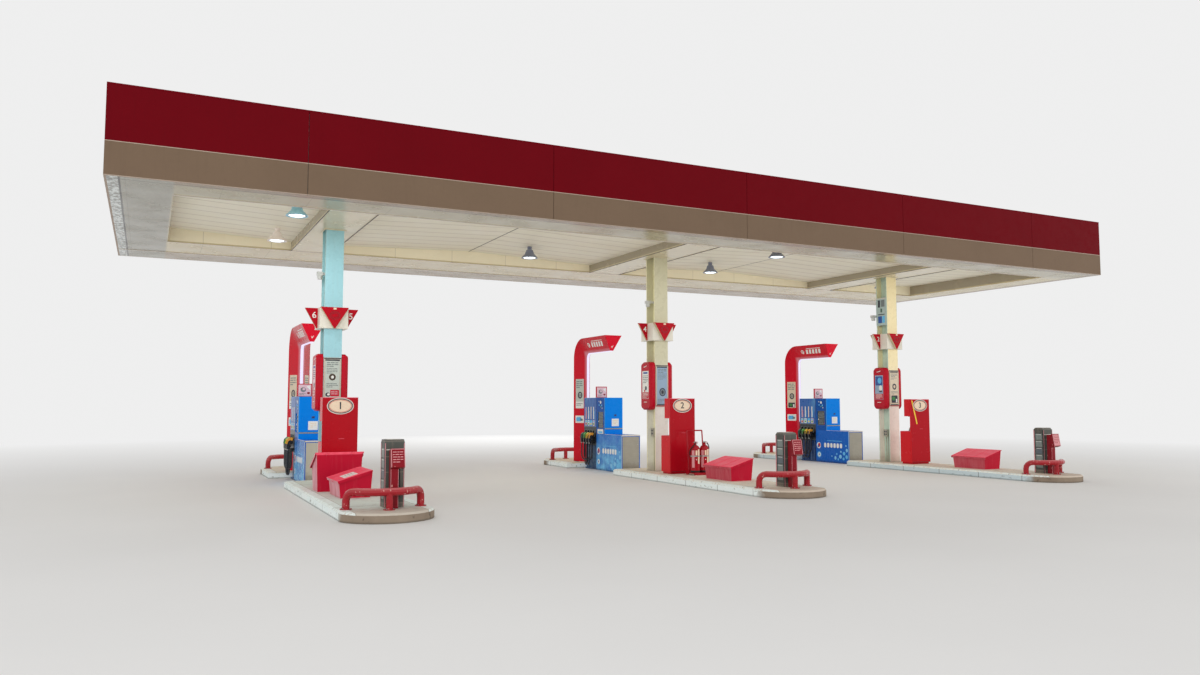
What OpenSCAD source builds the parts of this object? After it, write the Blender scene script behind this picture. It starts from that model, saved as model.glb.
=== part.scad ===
// Filling station canopy: a flat canopy on three H columns, with its pump
// islands, pumps, pump arches and the fittings that stand on the islands.
// X runs along the long fascia, Y away from the near fascia, Z up.
// Origin: ground point under the middle column. Millimetres.

/* [Canopy] */
// Length of the canopy over the fascia
canopy_len = 20200; // [18000:50:22000]
// Depth of the canopy over the fascia
canopy_dep = 7140; // [6800:20:7600]
// Left end of the canopy, from the middle column
canopy_left = 9850; // [8900:50:10200]
// Near edge of the canopy, from the column row
canopy_near = 2610; // [2500:10:2800]
// Clear height under the soffit
soffit_z = 4435; // [4100:5:4800]
// Height of the lower, grey fascia row
grey_h = 460; // [380:10:520]
// Height of the upper, red fascia row
red_h = 775; // [680:5:900]
// Thickness of a fascia panel
fascia_t = 30; // [20:1:40]
// Open joint between fascia panels
fascia_joint = 8; // [4:1:14]
// Length of the first fascia panel on the near and far sides, from the left end
first_panel = 2560; // [1800:10:3600]
// Length of the full fascia panels that follow it, with their joint
panel_pitch = 3832; // [3200:4:4400]
// Number of fascia panels on each end
end_panels = 2; // [1:1:3]

/* [Soffit and roof] */
// Width of the outer soffit strip on the near side and the ends
margin_w = 180; // [140:5:220]
// Width of the outer soffit strip on the far side
far_margin_w = 880; // [700:10:950]
// Width of the soffit band on the near side and the ends
band_w = 640; // [560:10:700]
// Width of the soffit band on the far side
far_band_w = 1250; // [1000:10:1300]
// Thickness of the soffit trays
tray_t = 20; // [14:1:26]
// Height of the roof decking above the soffit, at the columns
deck_low = 165; // [140:5:200]
// Rise of the decking from the columns to mid-bay
deck_rise = 100; // [60:5:120]
// Thickness of the roof decking
deck_t = 60; // [40:2:80]
// Width of the casing across the canopy at each column
casing_w = 750; // [700:10:820]

/* [Columns and steel] */
// Distance from the left column to the middle one
bay_left = 6460; // [6200:10:6600]
// Distance from the middle column to the right one
bay_right = 6270; // [6100:10:6500]
// Flange width of a column
col_w = 300; // [280:5:310]
// Depth of a column section
col_d = 340; // [320:5:360]
// Flange thickness of a column
col_tf = 22; // [16:1:28]
// Web thickness of a column
col_tw = 12; // [9:1:16]
// Height of a roof girder
girder_h = 300; // [240:10:340]
// Height of a purlin
purlin_h = 180; // [140:5:220]

/* [Islands] */
// Width of a pump island
island_w = 1200; // [1160:10:1260]
// Height of the kerb
kerb_h = 125; // [100:5:150]
// Straight length of the island's near part towards the viewer, from the column
near_straight = 4250; // [4200:10:4400]
// End of the near part behind the column
near_back = 780; // [700:10:850]
// Start of the far part, from the column row
far_start = 3050; // [3000:5:3150]
// Straight length of the far part
far_straight = 1350; // [1250:10:1450]
// How far the rounded nose stands out
nose = 450; // [380:10:500]

/* [Pumps] */
// Width of a pump
pump_w = 450; // [420:5:480]
// Near end of the pump, from the column row
pump_near = 1120; // [1080:5:1160]
// Length of the low cabinet in front of the head
low_len = 790; // [740:5:820]
// Length of the display module
display_len = 405; // [380:5:430]
// Length of the hose module
hose_len = 620; // [600:5:640]
// Height of the low cabinet
low_h = 797; // [760:1:830]
// Height of the pump head
head_h = 1600; // [1540:5:1660]

/* [Pump arch] */
// Height of the arch
arch_h = 2990; // [2900:10:3100]
// Width of the outer face
arch_w = 420; // [400:5:440]
// Width of the inner edge
arch_in = 80; // [70:2:100]
// Depth of the section
arch_d = 340; // [320:5:350]
// Outer face of the pillar, from the column row
arch_y = 3540; // [3510:5:3600]
// How far the end face leans back from top to bottom
arch_lean = 80; // [50:5:110]
// Near end of the arm, from the column row
arch_tip = 1920; // [1880:10:2000]
// Outer radius of the top corner
arch_r = 460; // [440:5:500]

/* [Signs and posters] */
// Side of the square number box
sign_w = 470; // [460:2:500]
// Underside of the number box
sign_z = 2735; // [2650:5:2800]
// Height of the number box
sign_h = 355; // [330:5:380]
// Thickness of the red triangles
tri_t = 70; // [50:2:80]
// Reach of a side triangle from the column axis
flag_x = 440; // [420:2:460]
// Thickness of a side triangle
flag_t = 40; // [30:1:50]
// Underside of the poster pods
pod_z = 1345; // [1300:5:1400]
// Height of the poster pods
pod_h = 965; // [900:5:1000]
// Depth of the poster pods
pod_d = 410; // [380:5:430]
// How far a pod stands off the column
pod_t = 115; // [100:1:125]

/* [Waste cabinet] */
// Width of the cabinet
cab_w = 560; // [520:5:600]
// Near face of the cabinet, from the column row
cab_y = 950; // [900:10:1000]
// Height of the cabinet above the ground
cab_top = 1570; // [1520:5:1640]
// Depth of the hood
hood_d = 200; // [180:5:230]
// Underside of the hood
hood_z = 1187; // [1150:1:1230]
// Depth of the lower box
bin_d = 330; // [300:5:360]
// Top of the lower box
bin_z = 850; // [800:5:900]
// Height of the recessed plinth
plinth_h = 40; // [30:1:60]
// How far the plinth is set back
plinth_in = 25; // [15:1:40]

/* [Crash hoops] */
// Diameter of the hoop tube
tube_d = 100; // [90:2:110]
// Height of the rail's centre line
rail_z = 350; // [320:5:380]
// Radius of the rail in plan
hoop_r = 520; // [500:5:540]
// Half angle of the rail in plan
hoop_angle = 52; // [48:1:56]
// Rail centre line behind the tip of the nose
hoop_in = 400; // [380:5:430]
// Radius of the bend from leg to rail
hoop_bend = 120; // [110:5:140]

/* [Service post] */
// Width of the service unit
unit_w = 260; // [240:5:280]
// Depth of the service unit
unit_d = 220; // [200:5:240]
// Near face of the service unit, from the column row
unit_y = 4050; // [4000:5:4070]
// Height of the service unit's top
unit_top = 1000; // [940:5:1060]
// Height of the red box's top
box_top = 890; // [850:5:940]
// Side of the red post
service_post = 100; // [80:2:110]

/* [Sand boxes] */
// Width of a sand box at its foot
sand_w = 420; // [400:5:450]
// Length of a sand box at its foot
sand_l = 780; // [740:5:820]
// Length of the tall sand box at its foot
sand_l_tall = 640; // [600:5:680]
// Height of the low side
sand_low = 235; // [215:5:255]
// Height of the high side
sand_high = 375; // [350:5:400]
// Wall of a sand box
sand_wall = 12; // [8:1:16]
// How much the box widens to its rim, on each side
sand_flare = 25; // [15:1:30]
// Overhang of the lid
lid_over = 22; // [18:1:28]
// Thickness of the lid
lid_t = 14; // [10:1:18]
// Drop of the lid's turned-down edge
lid_lip = 25; // [18:1:32]
// Diameter of a hinge barrel
hinge_d = 12; // [10:1:14]
// Distance of the hinge axis from the high wall
hinge_out = 8; // [8:1:10]
// Length of one hinge knuckle
knuckle = 24; // [18:1:30]

/* [Fire point] */
// Diameter of an extinguisher
ext_d = 180; // [160:2:190]
// Height of an extinguisher's body
ext_h = 520; // [480:5:560]
// Distance between the two extinguishers
ext_gap = 205; // [200:1:220]

/* [Hoses] */
// Diameter of a hose
hose_d = 28; // [24:1:30]
// Distance of the nozzles' hose ends from the pump's side
hose_out = 110; // [106:1:120]
// Distance of the outlets from the pump's side
outlet_out = 32; // [30:1:36]

/* [Lamps] */
// Diameter of a lamp's bell
lamp_d = 340; // [300:5:380]
// Height of a lamp, below the decking
lamp_h = 235; // [220:5:260]

/* [Hidden] */

// running clearances
seat = 0.3;
fit = 5;
mitre = 4;

cols = [-bay_left, 0, bay_right];
x0 = -canopy_left;
x1 = canopy_len - canopy_left;
y0 = -canopy_near;
y1 = canopy_dep - canopy_near;
split_z = soffit_z + grey_h;
top_z = split_z + red_h;

// soffit plan: outer strip, then the band, then the open coffers
sx0 = x0 + fascia_t + margin_w;
sx1 = x1 - fascia_t - margin_w;
sy0 = y0 + fascia_t + margin_w;
sy1 = y1 - fascia_t - far_margin_w;
cx0 = sx0 + band_w;
cx1 = sx1 - band_w;
cy0 = sy0 + band_w;
cy1 = sy1 - far_band_w;

// decking: low at the columns, high at mid-bay and at the ends
low_z = soffit_z + deck_low;
high_z = low_z + deck_rise;
steel_z = high_z + deck_t;
mids = [(cols[0] + cols[1]) / 2, (cols[1] + cols[2]) / 2];
half_c = casing_w / 2;
deck_x = [cx0, cols[0] - half_c, cols[0] + half_c, mids[0], cols[1] - half_c,
          cols[1] + half_c, mids[1], cols[2] - half_c, cols[2] + half_c, cx1];
deck_zs = [high_z, low_z, low_z, high_z, low_z, low_z, high_z, low_z, low_z, high_z];

beam_w = 90;
post_w = 60;
by0 = y0 + fascia_t + post_w;
by1 = y1 - fascia_t - post_w;
bx0 = x0 + fascia_t + post_w;
bx1 = x1 - fascia_t - post_w;

// Shared shapes

module h_profile(w, d, tw, tf) {
    difference() {
        square([w, d], center = true);
        for (s = [-1, 1]) translate([s * (w + tw) / 4, 0])
            square([(w - tw) / 2, d - 2 * tf], center = true);
    }
}

// box from corner to corner
module slab(a, b) { translate(a) cube(b - a); }

// ring of points round a path point; sections stand square to u and v
function ring(p, u, v, r, n) =
    [for (k = [0:n - 1]) p + r * (cos(360 * k / n) * u + sin(360 * k / n) * v)];
function unit(v) = v / norm(v);
function tangent(p, i) = unit(p[min(i + 1, len(p) - 1)] - p[max(i - 1, 0)]);

// tube swept along points; w holds each ring's sideways direction
module swept(p, w, r, n) {
    pts = [for (i = [0:len(p) - 1]) let (t = tangent(p, i), v = unit(cross(w[i], t)))
           each ring(p[i], unit(cross(t, v)), v, r, n)];
    m = len(p);
    faces = concat(
        [[for (k = [n - 1:-1:0]) k]],
        [for (i = [0:m - 2], k = [0:n - 1]) let (a = i * n + k, b = i * n + (k + 1) % n)
            [a, b, b + n, a + n]],
        [[for (k = [0:n - 1]) (m - 1) * n + k]]);
    polyhedron(points = pts, faces = faces, convexity = 4);
}

// Structure

cap_t = 20;
cap_over = 20;
module column(x) {
    color("#e4dfcc") translate([x, 0, kerb_h]) {
        linear_extrude(steel_z - kerb_h) h_profile(col_w, col_d, col_tw, col_tf);
        translate([0, 0, steel_z - kerb_h - cap_t])
            linear_extrude(cap_t) square([col_w + 2 * cap_over, col_d + 2 * cap_over], center = true);
    }
}
module column_left() column(cols[0]);
module column_mid() column(cols[1]);
module column_right() column(cols[2]);

// girders over the columns, stiffened above the column flanges
girder_w = 170;
girder_tw = 8;
girder_tf = 13;
stiffener_t = 12;
module girders() {
    flange_y = (col_d - col_tf) / 2;
    color("#9a9a98") for (x = cols) {
        translate([x, by0 + beam_w, steel_z + girder_h / 2]) rotate([-90, 0, 0])
            linear_extrude(by1 - by0 - 2 * beam_w) h_profile(girder_w, girder_h, girder_tw, girder_tf);
        for (y = [-flange_y, flange_y])
            slab([x - girder_w / 2, y - stiffener_t / 2, steel_z + girder_tf / 2],
                 [x + girder_w / 2, y + stiffener_t / 2, steel_z + girder_h - girder_tf / 2]);
    }
}

// channel with its web outside, its length along +Y
module channel(len, h) {
    rotate([-90, 0, 0]) translate([0, -h, 0]) linear_extrude(len) difference() {
        square([beam_w, h]);
        translate([10, 14]) square([beam_w, h - 28]);
    }
}

module edge_beams() {
    color("#9a9a98") {
        translate([bx0, by0, steel_z]) channel(by1 - by0, girder_h);
        translate([bx1, by1, steel_z]) rotate(180) channel(by1 - by0, girder_h);
        translate([bx0 + beam_w + seat, by0, steel_z]) mirror([1, -1, 0])
            channel(bx1 - bx0 - 2 * beam_w - 2 * seat, girder_h);
        translate([bx1 - beam_w - seat, by1, steel_z]) mirror([1, -1, 0]) mirror([0, 1, 0])
            mirror([1, 0, 0]) channel(bx1 - bx0 - 2 * beam_w - 2 * seat, girder_h);
    }
}

module purlins() {
    xs = [bx0 + beam_w, cols[0], cols[1], cols[2], bx1 - beam_w];
    ends = [0, girder_w / 2, girder_w / 2, girder_w / 2, 0];
    color("#a2a29f") for (t = [0.25, 0.5, 0.75], i = [0:3])
        translate([xs[i] + ends[i], by0 + t * (by1 - by0), steel_z + purlin_h / 2])
            rotate([90, 0, 90]) linear_extrude(xs[i + 1] - ends[i + 1] - xs[i] - ends[i])
                h_profile(80, purlin_h, 6, 9);
}

// starts and ends of the long sides' panels, from the left end
full_panels = ceil((canopy_len - first_panel) / panel_pitch) - 1;
panel_at = [0, for (i = [0:full_panels]) first_panel + i * panel_pitch];
panel_end = [for (i = [0:full_panels]) panel_at[i + 1] - fascia_joint, canopy_len];

post_top = top_z - 40;
module fascia_post(x, y) {
    slab([x - post_w / 2, y - post_w / 2, soffit_z + tray_t],
         [x + post_w / 2, y + post_w / 2, post_top]);
}
module fascia_posts() {
    last = len(panel_at) - 1;
    middles = [for (i = [0:last]) (panel_at[i] + panel_end[i]) / 2];
    joints = [for (i = [1:last]) panel_at[i] - fascia_joint / 2];
    color("#9a9a98") {
        for (x = concat(middles, joints), y = [by0 - post_w / 2, by1 + post_w / 2])
            fascia_post(x0 + x, y);
        for (j = [0:2 * end_panels], x = [bx0 - post_w / 2, bx1 + post_w / 2])
            fascia_post(x, by0 + j * (by1 - by0) / (2 * end_panels));
    }
}

// Fascia

// a row over the whole length: a first panel, full ones, and the rest of the length
module long_row(h) {
    for (i = [0:len(panel_at) - 1]) translate([panel_at[i], 0, 0])
        cube([panel_end[i] - panel_at[i], fascia_t, h]);
}
// a row of equal panels along +X, with open joints
module panel_row(len, n, h) {
    p = (len - (n - 1) * fascia_joint) / n;
    for (i = [0:n - 1]) translate([i * (p + fascia_joint), 0, 0]) cube([p, fascia_t, h]);
}
module end_rows(z, h) {
    for (x = [x0 + fascia_t, x1])
        translate([x, y0 + fascia_t, z]) rotate(90)
            panel_row(canopy_dep - 2 * fascia_t, end_panels, h);
}
module fascia_red_near() color("#b0101c") translate([x0, y0, split_z])
    long_row(red_h);
module fascia_red_far() color("#b0101c") translate([x0, y1 - fascia_t, split_z])
    long_row(red_h);
module fascia_red_ends() color("#b0101c") end_rows(split_z, red_h);
module fascia_grey_near() color("#8f8577") translate([x0, y0, soffit_z])
    long_row(grey_h);
module fascia_grey_far() color("#8f8577") translate([x0, y1 - fascia_t, soffit_z])
    long_row(grey_h);
module fascia_grey_ends() color("#8f8577") end_rows(soffit_z, grey_h);

// flashing on the heads of the posts: turned up behind the panels and at its inner edge
flashing_t = 3;
flashing_w = post_w + 12;
module flashing(len) {
    rotate([90, 0, 90]) linear_extrude(len) polygon([
        [0, post_top], [flashing_w, post_top], [flashing_w, post_top + 15],
        [flashing_w - flashing_t, post_top + 15], [flashing_w - flashing_t, post_top + flashing_t],
        [flashing_t, post_top + flashing_t], [flashing_t, top_z], [0, top_z]]);
}
module fascia_capping() {
    long = canopy_len - 2 * fascia_t;
    short = canopy_dep - 2 * fascia_t - 2 * flashing_w - 2 * mitre;
    color("#8c0e18") {
        translate([x0 + fascia_t, y0 + fascia_t, 0]) flashing(long);
        translate([x1 - fascia_t, y1 - fascia_t, 0]) rotate(180) flashing(long);
        translate([x0 + fascia_t, y1 - fascia_t - flashing_w - mitre, 0]) rotate(-90) flashing(short);
        translate([x1 - fascia_t, y0 + fascia_t + flashing_w + mitre, 0]) rotate(90) flashing(short);
    }
}

// Roof and soffit

module along_y(a, b) { translate([0, b, 0]) rotate([90, 0, 0]) linear_extrude(b - a) children(); }

// decking: one sheet from each fold to the next, butted
module roof_deck() {
    xs = concat([bx0], deck_x, [bx1]);
    zs = concat([high_z], deck_zs, [high_z]);
    color("#d9d2c0") difference() {
        for (i = [0:len(xs) - 2]) along_y(by0, by1)
            polygon([[xs[i] + seat / 2, zs[i]], [xs[i + 1] - seat / 2, zs[i + 1]],
                     [xs[i + 1] - seat / 2, zs[i + 1] + deck_t], [xs[i] + seat / 2, zs[i] + deck_t]]);
        for (x = cols) column_hole(x);
    }
}

// opening round a column, with its running clearance
module column_hole(x) {
    slab([x - col_w / 2 - fit, -col_d / 2 - fit, soffit_z - 1],
         [x + col_w / 2 + fit, col_d / 2 + fit, steel_z - cap_t]);
}

// upstand on a tray, up to the decking, along X
upstand_z = soffit_z + tray_t + seat;
module upstand_x(y) {
    along_y(y, y + tray_t) polygon(concat(
        [[cx1, upstand_z], [cx0, upstand_z]],
        [for (k = [0:9]) [deck_x[k], deck_zs[k] - seat]]));
}
module soffit_near() {
    color("#cfc8b8") {
        slab([sx0, sy0, soffit_z], [sx1, cy0, soffit_z + tray_t]);
        upstand_x(cy0 - tray_t);
    }
}
module soffit_far() {
    color("#cfc8b8") {
        slab([sx0, cy1, soffit_z], [sx1, sy1, soffit_z + tray_t]);
        upstand_x(cy1);
    }
}
module soffit_ends() {
    color("#cfc8b8") {
        slab([sx0, cy0, soffit_z], [cx0, cy1, soffit_z + tray_t]);
        slab([cx0 - tray_t, cy0, upstand_z], [cx0, cy1, high_z]);
        slab([cx1, cy0, soffit_z], [sx1, cy1, soffit_z + tray_t]);
        slab([cx1, cy0, upstand_z], [cx1 + tray_t, cy1, high_z]);
    }
}
module soffit_margins() {
    xa = x0 + fascia_t;
    xb = x1 - fascia_t;
    ya = y0 + fascia_t;
    yb = y1 - fascia_t;
    color("#b7b0a4") {
        slab([xa, ya, soffit_z], [xb, sy0, soffit_z + tray_t]);
        slab([xa, sy1, soffit_z], [xb, yb, soffit_z + tray_t]);
        slab([xa, sy0 + mitre, soffit_z], [sx0, sy1 - mitre, soffit_z + tray_t]);
        slab([sx1, sy0 + mitre, soffit_z], [xb, sy1 - mitre, soffit_z + tray_t]);
    }
}
module cross_casings() {
    color("#cfc8b8") for (x = cols) difference() {
        slab([x - half_c, cy0, soffit_z], [x + half_c, cy1, low_z]);
        slab([x - half_c + tray_t, cy0 - 1, soffit_z + tray_t],
             [x + half_c - tray_t, cy1 + 1, low_z + 1]);
        column_hole(x);
    }
}

// lamp stations, along X from the columns and along Y from the column row
lamp_near = -1300;
lamp_far = 1100;
lamp_out_left = 790;
lamp_bay_left = 2360;
lamp_bay_right = 2050;
lamp_out_right = 930;
lamp_at = [[cols[0] - lamp_out_left, lamp_near], [cols[0] - lamp_out_left, lamp_far],
           [cols[1] - lamp_bay_left, lamp_far], [cols[1] + lamp_bay_right, lamp_near],
           [cols[1] + lamp_bay_right, lamp_far], [cols[2] + lamp_out_right, lamp_far]];
function deck_at(x, k = 0) = x <= deck_x[k + 1] || k == 8
    ? deck_zs[k] + (deck_zs[k + 1] - deck_zs[k]) * (x - deck_x[k]) / (deck_x[k + 1] - deck_x[k])
    : deck_at(x, k + 1);
lamp_neck = 45;
neck_h = 60;
gear_r = 70;
gear_h = 15;
bell_top_r = 95;
bell_top = 85;
bell_t = 10;
rim_h = 20;
bell_deep = 75;
module lamp() {
    r = lamp_d / 2;
    rotate_extrude($fn = 20) polygon([
        [0, 0], [lamp_neck, 0], [lamp_neck, -neck_h], [gear_r, -neck_h - gear_h],
        [bell_top_r, -lamp_h + bell_top], [r - bell_t - 2, -lamp_h + rim_h],
        [r, -lamp_h], [r - bell_t, -lamp_h], [r - bell_t - rim_h, -lamp_h + rim_h],
        [gear_r, -lamp_h + bell_deep], [0, -lamp_h + bell_deep]]);
}
module lamps() {
    color("#c9ced4") for (p = lamp_at)
        translate([p[0], p[1], min(deck_at(p[0] - lamp_neck), deck_at(p[0] + lamp_neck)) - seat])
            lamp();
}

// Column signs

module sign_boxes() {
    color("#f0efe9") for (x = cols) translate([x, 0, sign_z]) linear_extrude(sign_h)
        difference() {
            square(sign_w, center = true);
            square([col_w, col_d], center = true);
        }
}
module sign_triangles() {
    half = sign_w / 2 - 10;
    color("#c4101f") for (x = cols) translate([x, 0, sign_z]) {
        for (s = [-1, 1]) translate([0, s * (sign_w / 2 + tri_t / 2) + tri_t / 2, 0])
            rotate([90, 0, 0]) linear_extrude(tri_t)
                polygon([[-half, sign_h], [-half, sign_h - 12], [-12, 0], [12, 0],
                         [half, sign_h - 12], [half, sign_h]]);
        for (s = [-1, 1]) translate([0, flag_t / 2, 0]) rotate([90, 0, 0])
            linear_extrude(flag_t)
                polygon([[s * sign_w / 2, sign_h], [s * flag_x, sign_h], [s * flag_x, sign_h - 12],
                         [s * (sign_w / 2 + 20), 10], [s * sign_w / 2, 10]]);
    }
}

// depth of the sunk poster fields
poster_deep = 6;
module pod() {
    r = 90;
    module outline(in) { offset(r - in, $fn = 24) square([pod_d - 2 * r, pod_h - 2 * r], center = true); }
    difference() {
        hull() {
            linear_extrude(pod_t - 45) outline(0);
            linear_extrude(pod_t) outline(38);
        }
        translate([0, 20, pod_t]) cube([pod_d - 150, pod_h - 400, 2 * poster_deep], center = true);
    }
}
module poster_pods() {
    color("#c4101f") for (x = cols, s = [-1, 1])
        translate([x + s * col_w / 2, 25, pod_z + pod_h / 2])
            rotate([90, 0, s * 90]) pod();
}
module poster_panels() {
    t = 24;
    w = col_w - 20;
    h = pod_h - 130;
    color("#d8d4c8") for (x = cols, s = [-1, 1])
        translate([x, s * (col_d / 2 + t / 2), pod_z + pod_h / 2]) difference() {
            cube([w, t, h], center = true);
            translate([0, s * t / 2, 0]) cube([w - 36, 2 * poster_deep, h - 60], center = true);
        }
}

// Waste cabinets

// near panel, with the hood and the lower box behind it; panel joints and a door are cut in
panel_t = 35;
seam = 4;
groove_end = 30;
door_in = 40;
door_top = 120;
flap_in = 130;
flap_deep = 15;
flap_low = 95;
flap_h = 60;
module cabinets() {
    foot = kerb_h + plinth_h;
    color("#b8121e") for (x = cols) translate([x - cab_w / 2, -cab_y, 0]) {
        difference() {
            rotate([90, 0, 90]) linear_extrude(cab_w)
                polygon([[0, foot], [bin_d, foot], [bin_d, bin_z], [panel_t, bin_z],
                         [panel_t, hood_z], [hood_d, hood_z], [hood_d, cab_top], [0, cab_top]]);
            for (s = [0, cab_w - seam]) {
                slab([s - 1, panel_t, foot - 1], [s + seam + 1, panel_t + seam, bin_z - groove_end]);
                slab([s - 1, panel_t, hood_z + groove_end], [s + seam + 1, panel_t + seam, cab_top + 1]);
            }
            difference() {
                slab([door_in, bin_d - seam, foot + door_in],
                     [cab_w - door_in, bin_d + 1, bin_z - door_top]);
                slab([door_in + seam, bin_d - 2 * seam, foot + door_in + seam],
                     [cab_w - door_in - seam, bin_d + 2, bin_z - door_top - seam]);
            }
            slab([flap_in, bin_d - flap_deep, bin_z - flap_low],
                 [cab_w - flap_in, bin_d + 1, bin_z - flap_low + flap_h]);
        }
        slab([plinth_in, plinth_in, kerb_h], [cab_w - plinth_in, bin_d - plinth_in, foot]);
    }
}
module cabinet_rolls() {
    len = cab_w - 180;
    color("#8b8d8e") for (x = cols)
        translate([x - len / 2, -cab_y + panel_t, bin_z]) rotate([90, 0, 90]) linear_extrude(len)
            intersection() {
                circle(130, $fn = 32);
                square(130);
            }
}

// Islands

nose_r = (pow(island_w / 2, 2) + nose * nose) / (2 * nose);
nose_a = asin(island_w / 2 / nose_r);

// plan of one island end: straight back, rounded nose towards -Y
module island_plan(back, straight) {
    polygon(concat(
        [[island_w / 2, back], [-island_w / 2, back]],
        [for (k = [-6:6]) let (a = k * nose_a / 6)
            [nose_r * sin(a), -straight + nose_r * cos(nose_a) - nose_r * cos(a)]]));
}
module kerbed() {
    hull() {
        linear_extrude(kerb_h - 25) children();
        linear_extrude(kerb_h) offset(-25) children();
    }
}
module island(x) {
    color("#a9a294") translate([x, 0, 0]) {
        kerbed() island_plan(near_back, near_straight);
        mirror([0, 1, 0]) kerbed() island_plan(-far_start, far_start + far_straight);
    }
}
module island_left() island(cols[0]);
module island_mid() island(cols[1]);
module island_right() island(cols[2]);

// crash hoop: a rail bent round the nose, turned down into a leg at each end.
// Stations along it: [plan angle, angle of the turn into the leg, height above the turn's end]
hoop_st = concat(
    [[-1, -90, kerb_h - rail_z + hoop_bend]], [for (b = [-90:22.5:-22.5]) [-1, b, 0]],
    [for (k = [-6:6]) [k / 6, 0, 0]],
    [for (b = [22.5:22.5:90]) [1, b, 0]], [[1, 90, kerb_h - rail_z + hoop_bend]]);
function radial(a) = [sin(a), -cos(a), 0];
function along(a) = [cos(a), sin(a), 0];
function hoop_point(q) = let (a = q[0] * hoop_angle, b = q[1])
    hoop_r * radial(a) + hoop_bend * sin(b) * along(a)
    + [0, 0, rail_z - hoop_bend * (1 - cos(b)) + q[2]];
module hoop() {
    r = tube_d / 2;
    swept([for (q = hoop_st) hoop_point(q)], [for (q = hoop_st) radial(q[0] * hoop_angle)], r, 10);
    for (q = [hoop_point(hoop_st[0]), hoop_point(hoop_st[len(hoop_st) - 1]), [0, -hoop_r, kerb_h]])
        translate([q[0], q[1], kerb_h]) cylinder(h = 12, r = r + 25, $fn = 20);
    translate([0, -hoop_r, kerb_h]) cylinder(h = rail_z - kerb_h, r = r - 5, $fn = 10);
}
hoop_y = near_straight + nose - hoop_in - hoop_r;
module hoops_near() color("#c9202a") for (x = cols) translate([x, -hoop_y, 0]) hoop();
module hoops_far() {
    far_y = far_start + far_straight + nose - hoop_in - hoop_r;
    color("#c9202a") for (x = cols) translate([x, far_y, 0]) mirror([0, 1, 0]) hoop();
}

// Service units behind the near hoops

unit_x = 120;
module service_units() {
    color("#4c4f50") for (x = cols) translate([x + unit_x - unit_w / 2, -unit_y, kerb_h])
        difference() {
            rotate([90, 0, 90]) linear_extrude(unit_w)
                polygon([[0, 0], [unit_d, 0], [unit_d, unit_top - kerb_h - 40],
                         [unit_d - 40, unit_top - kerb_h], [40, unit_top - kerb_h],
                         [0, unit_top - kerb_h - 40]]);
            slab([60, -1, 120], [unit_w - 60, 25, unit_top - kerb_h - 160]);
            for (s = [0, unit_w])
                slab([s - 8, 35, 90], [s + 8, unit_d - 35, unit_top - kerb_h - 110]);
            slab([45, unit_d - 8, 90], [unit_w - 45, unit_d + 1, unit_top - kerb_h - 110]);
        }
}
module service_boxes() {
    w = 180;
    h = service_post / 2;
    color("#c9202a") for (x = cols) translate([x + 90, -unit_y - 30 - h, 0]) {
        slab([-h, -h, kerb_h], [h, h, box_top - 20]);
        translate([-w / 2 + 30, -h, 0]) rotate([90, 0, 90]) linear_extrude(w)
            polygon([[0, box_top - 260], [-70, box_top - 235], [-30, box_top], [0, box_top]]);
    }
}

// Sand boxes

// places: [x, y, turn, height over the plain box, length]
sand_y = -2400;
sand_y_left = -2230;
sand_y_tall = -1290;
sand_off_left = 80;
sand_off_tall = 100;
sand_rise_tall = 1.56;
sand_off_mid = 50;
sand_off_right = 60;
sand_at = [[cols[0] - sand_off_left, sand_y_left, 0, 1, sand_l],
           [cols[0] - sand_off_tall, sand_y_tall, -90, sand_rise_tall, sand_l_tall],
           [cols[1] + sand_off_mid, sand_y, 0, 1, sand_l],
           [cols[2] + sand_off_right, sand_y, 0, 1, sand_l]];

// tapered block: foot inset by t, sides widening by the flare to a sloping rim
module sand_form(p, t, z, up) {
    x = sand_w / 2 - t;
    y = p[4] / 2 - t;
    f = sand_flare;
    low = sand_low * p[3] + up;
    high = sand_high * p[3] + up;
    intersection() {
        along_y(-sand_l, sand_l)
            polygon([[-x, z], [x, z], [x + f, high], [-x - f, low]]);
        rotate([90, 0, 90]) translate([0, 0, -sand_w]) linear_extrude(2 * sand_w)
            polygon([[-y, z], [y, z], [y + f, high], [-y - f, high]]);
    }
}
// hinges beside the high wall, their axis level with the rim: the middle knuckle is the box's
rim_x = sand_w / 2 + sand_flare;
axis_x = rim_x + hinge_out;
hinge_in = 130;
function hinge_at(p) = [-p[4] / 2 + hinge_in, p[4] / 2 - hinge_in];
bracket_h = 45;
bracket_in = 6;
module hinge_knuckle(y, high) {
    translate([axis_x, y, high]) rotate([-90, 0, 0]) cylinder(h = knuckle, r = hinge_d / 2, $fn = 24);
}
module sand_boxes() {
    color("#c4152a") for (p = sand_at) translate([p[0], p[1], kerb_h]) rotate(p[2]) {
        high = sand_high * p[3];
        difference() {
            sand_form(p, 0, 0, 0);
            sand_form(p, sand_wall, sand_wall, 1);
        }
        for (y = hinge_at(p)) {
            hinge_knuckle(y - knuckle / 2, high);
            along_y(y - knuckle / 2, y + knuckle / 2)
                polygon([[rim_x - bracket_in, high - bracket_h], [rim_x + 1, high - bracket_h],
                         [axis_x + 4, high - 4], [axis_x, high], [rim_x - bracket_in, high - 4]]);
        }
    }
}
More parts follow.
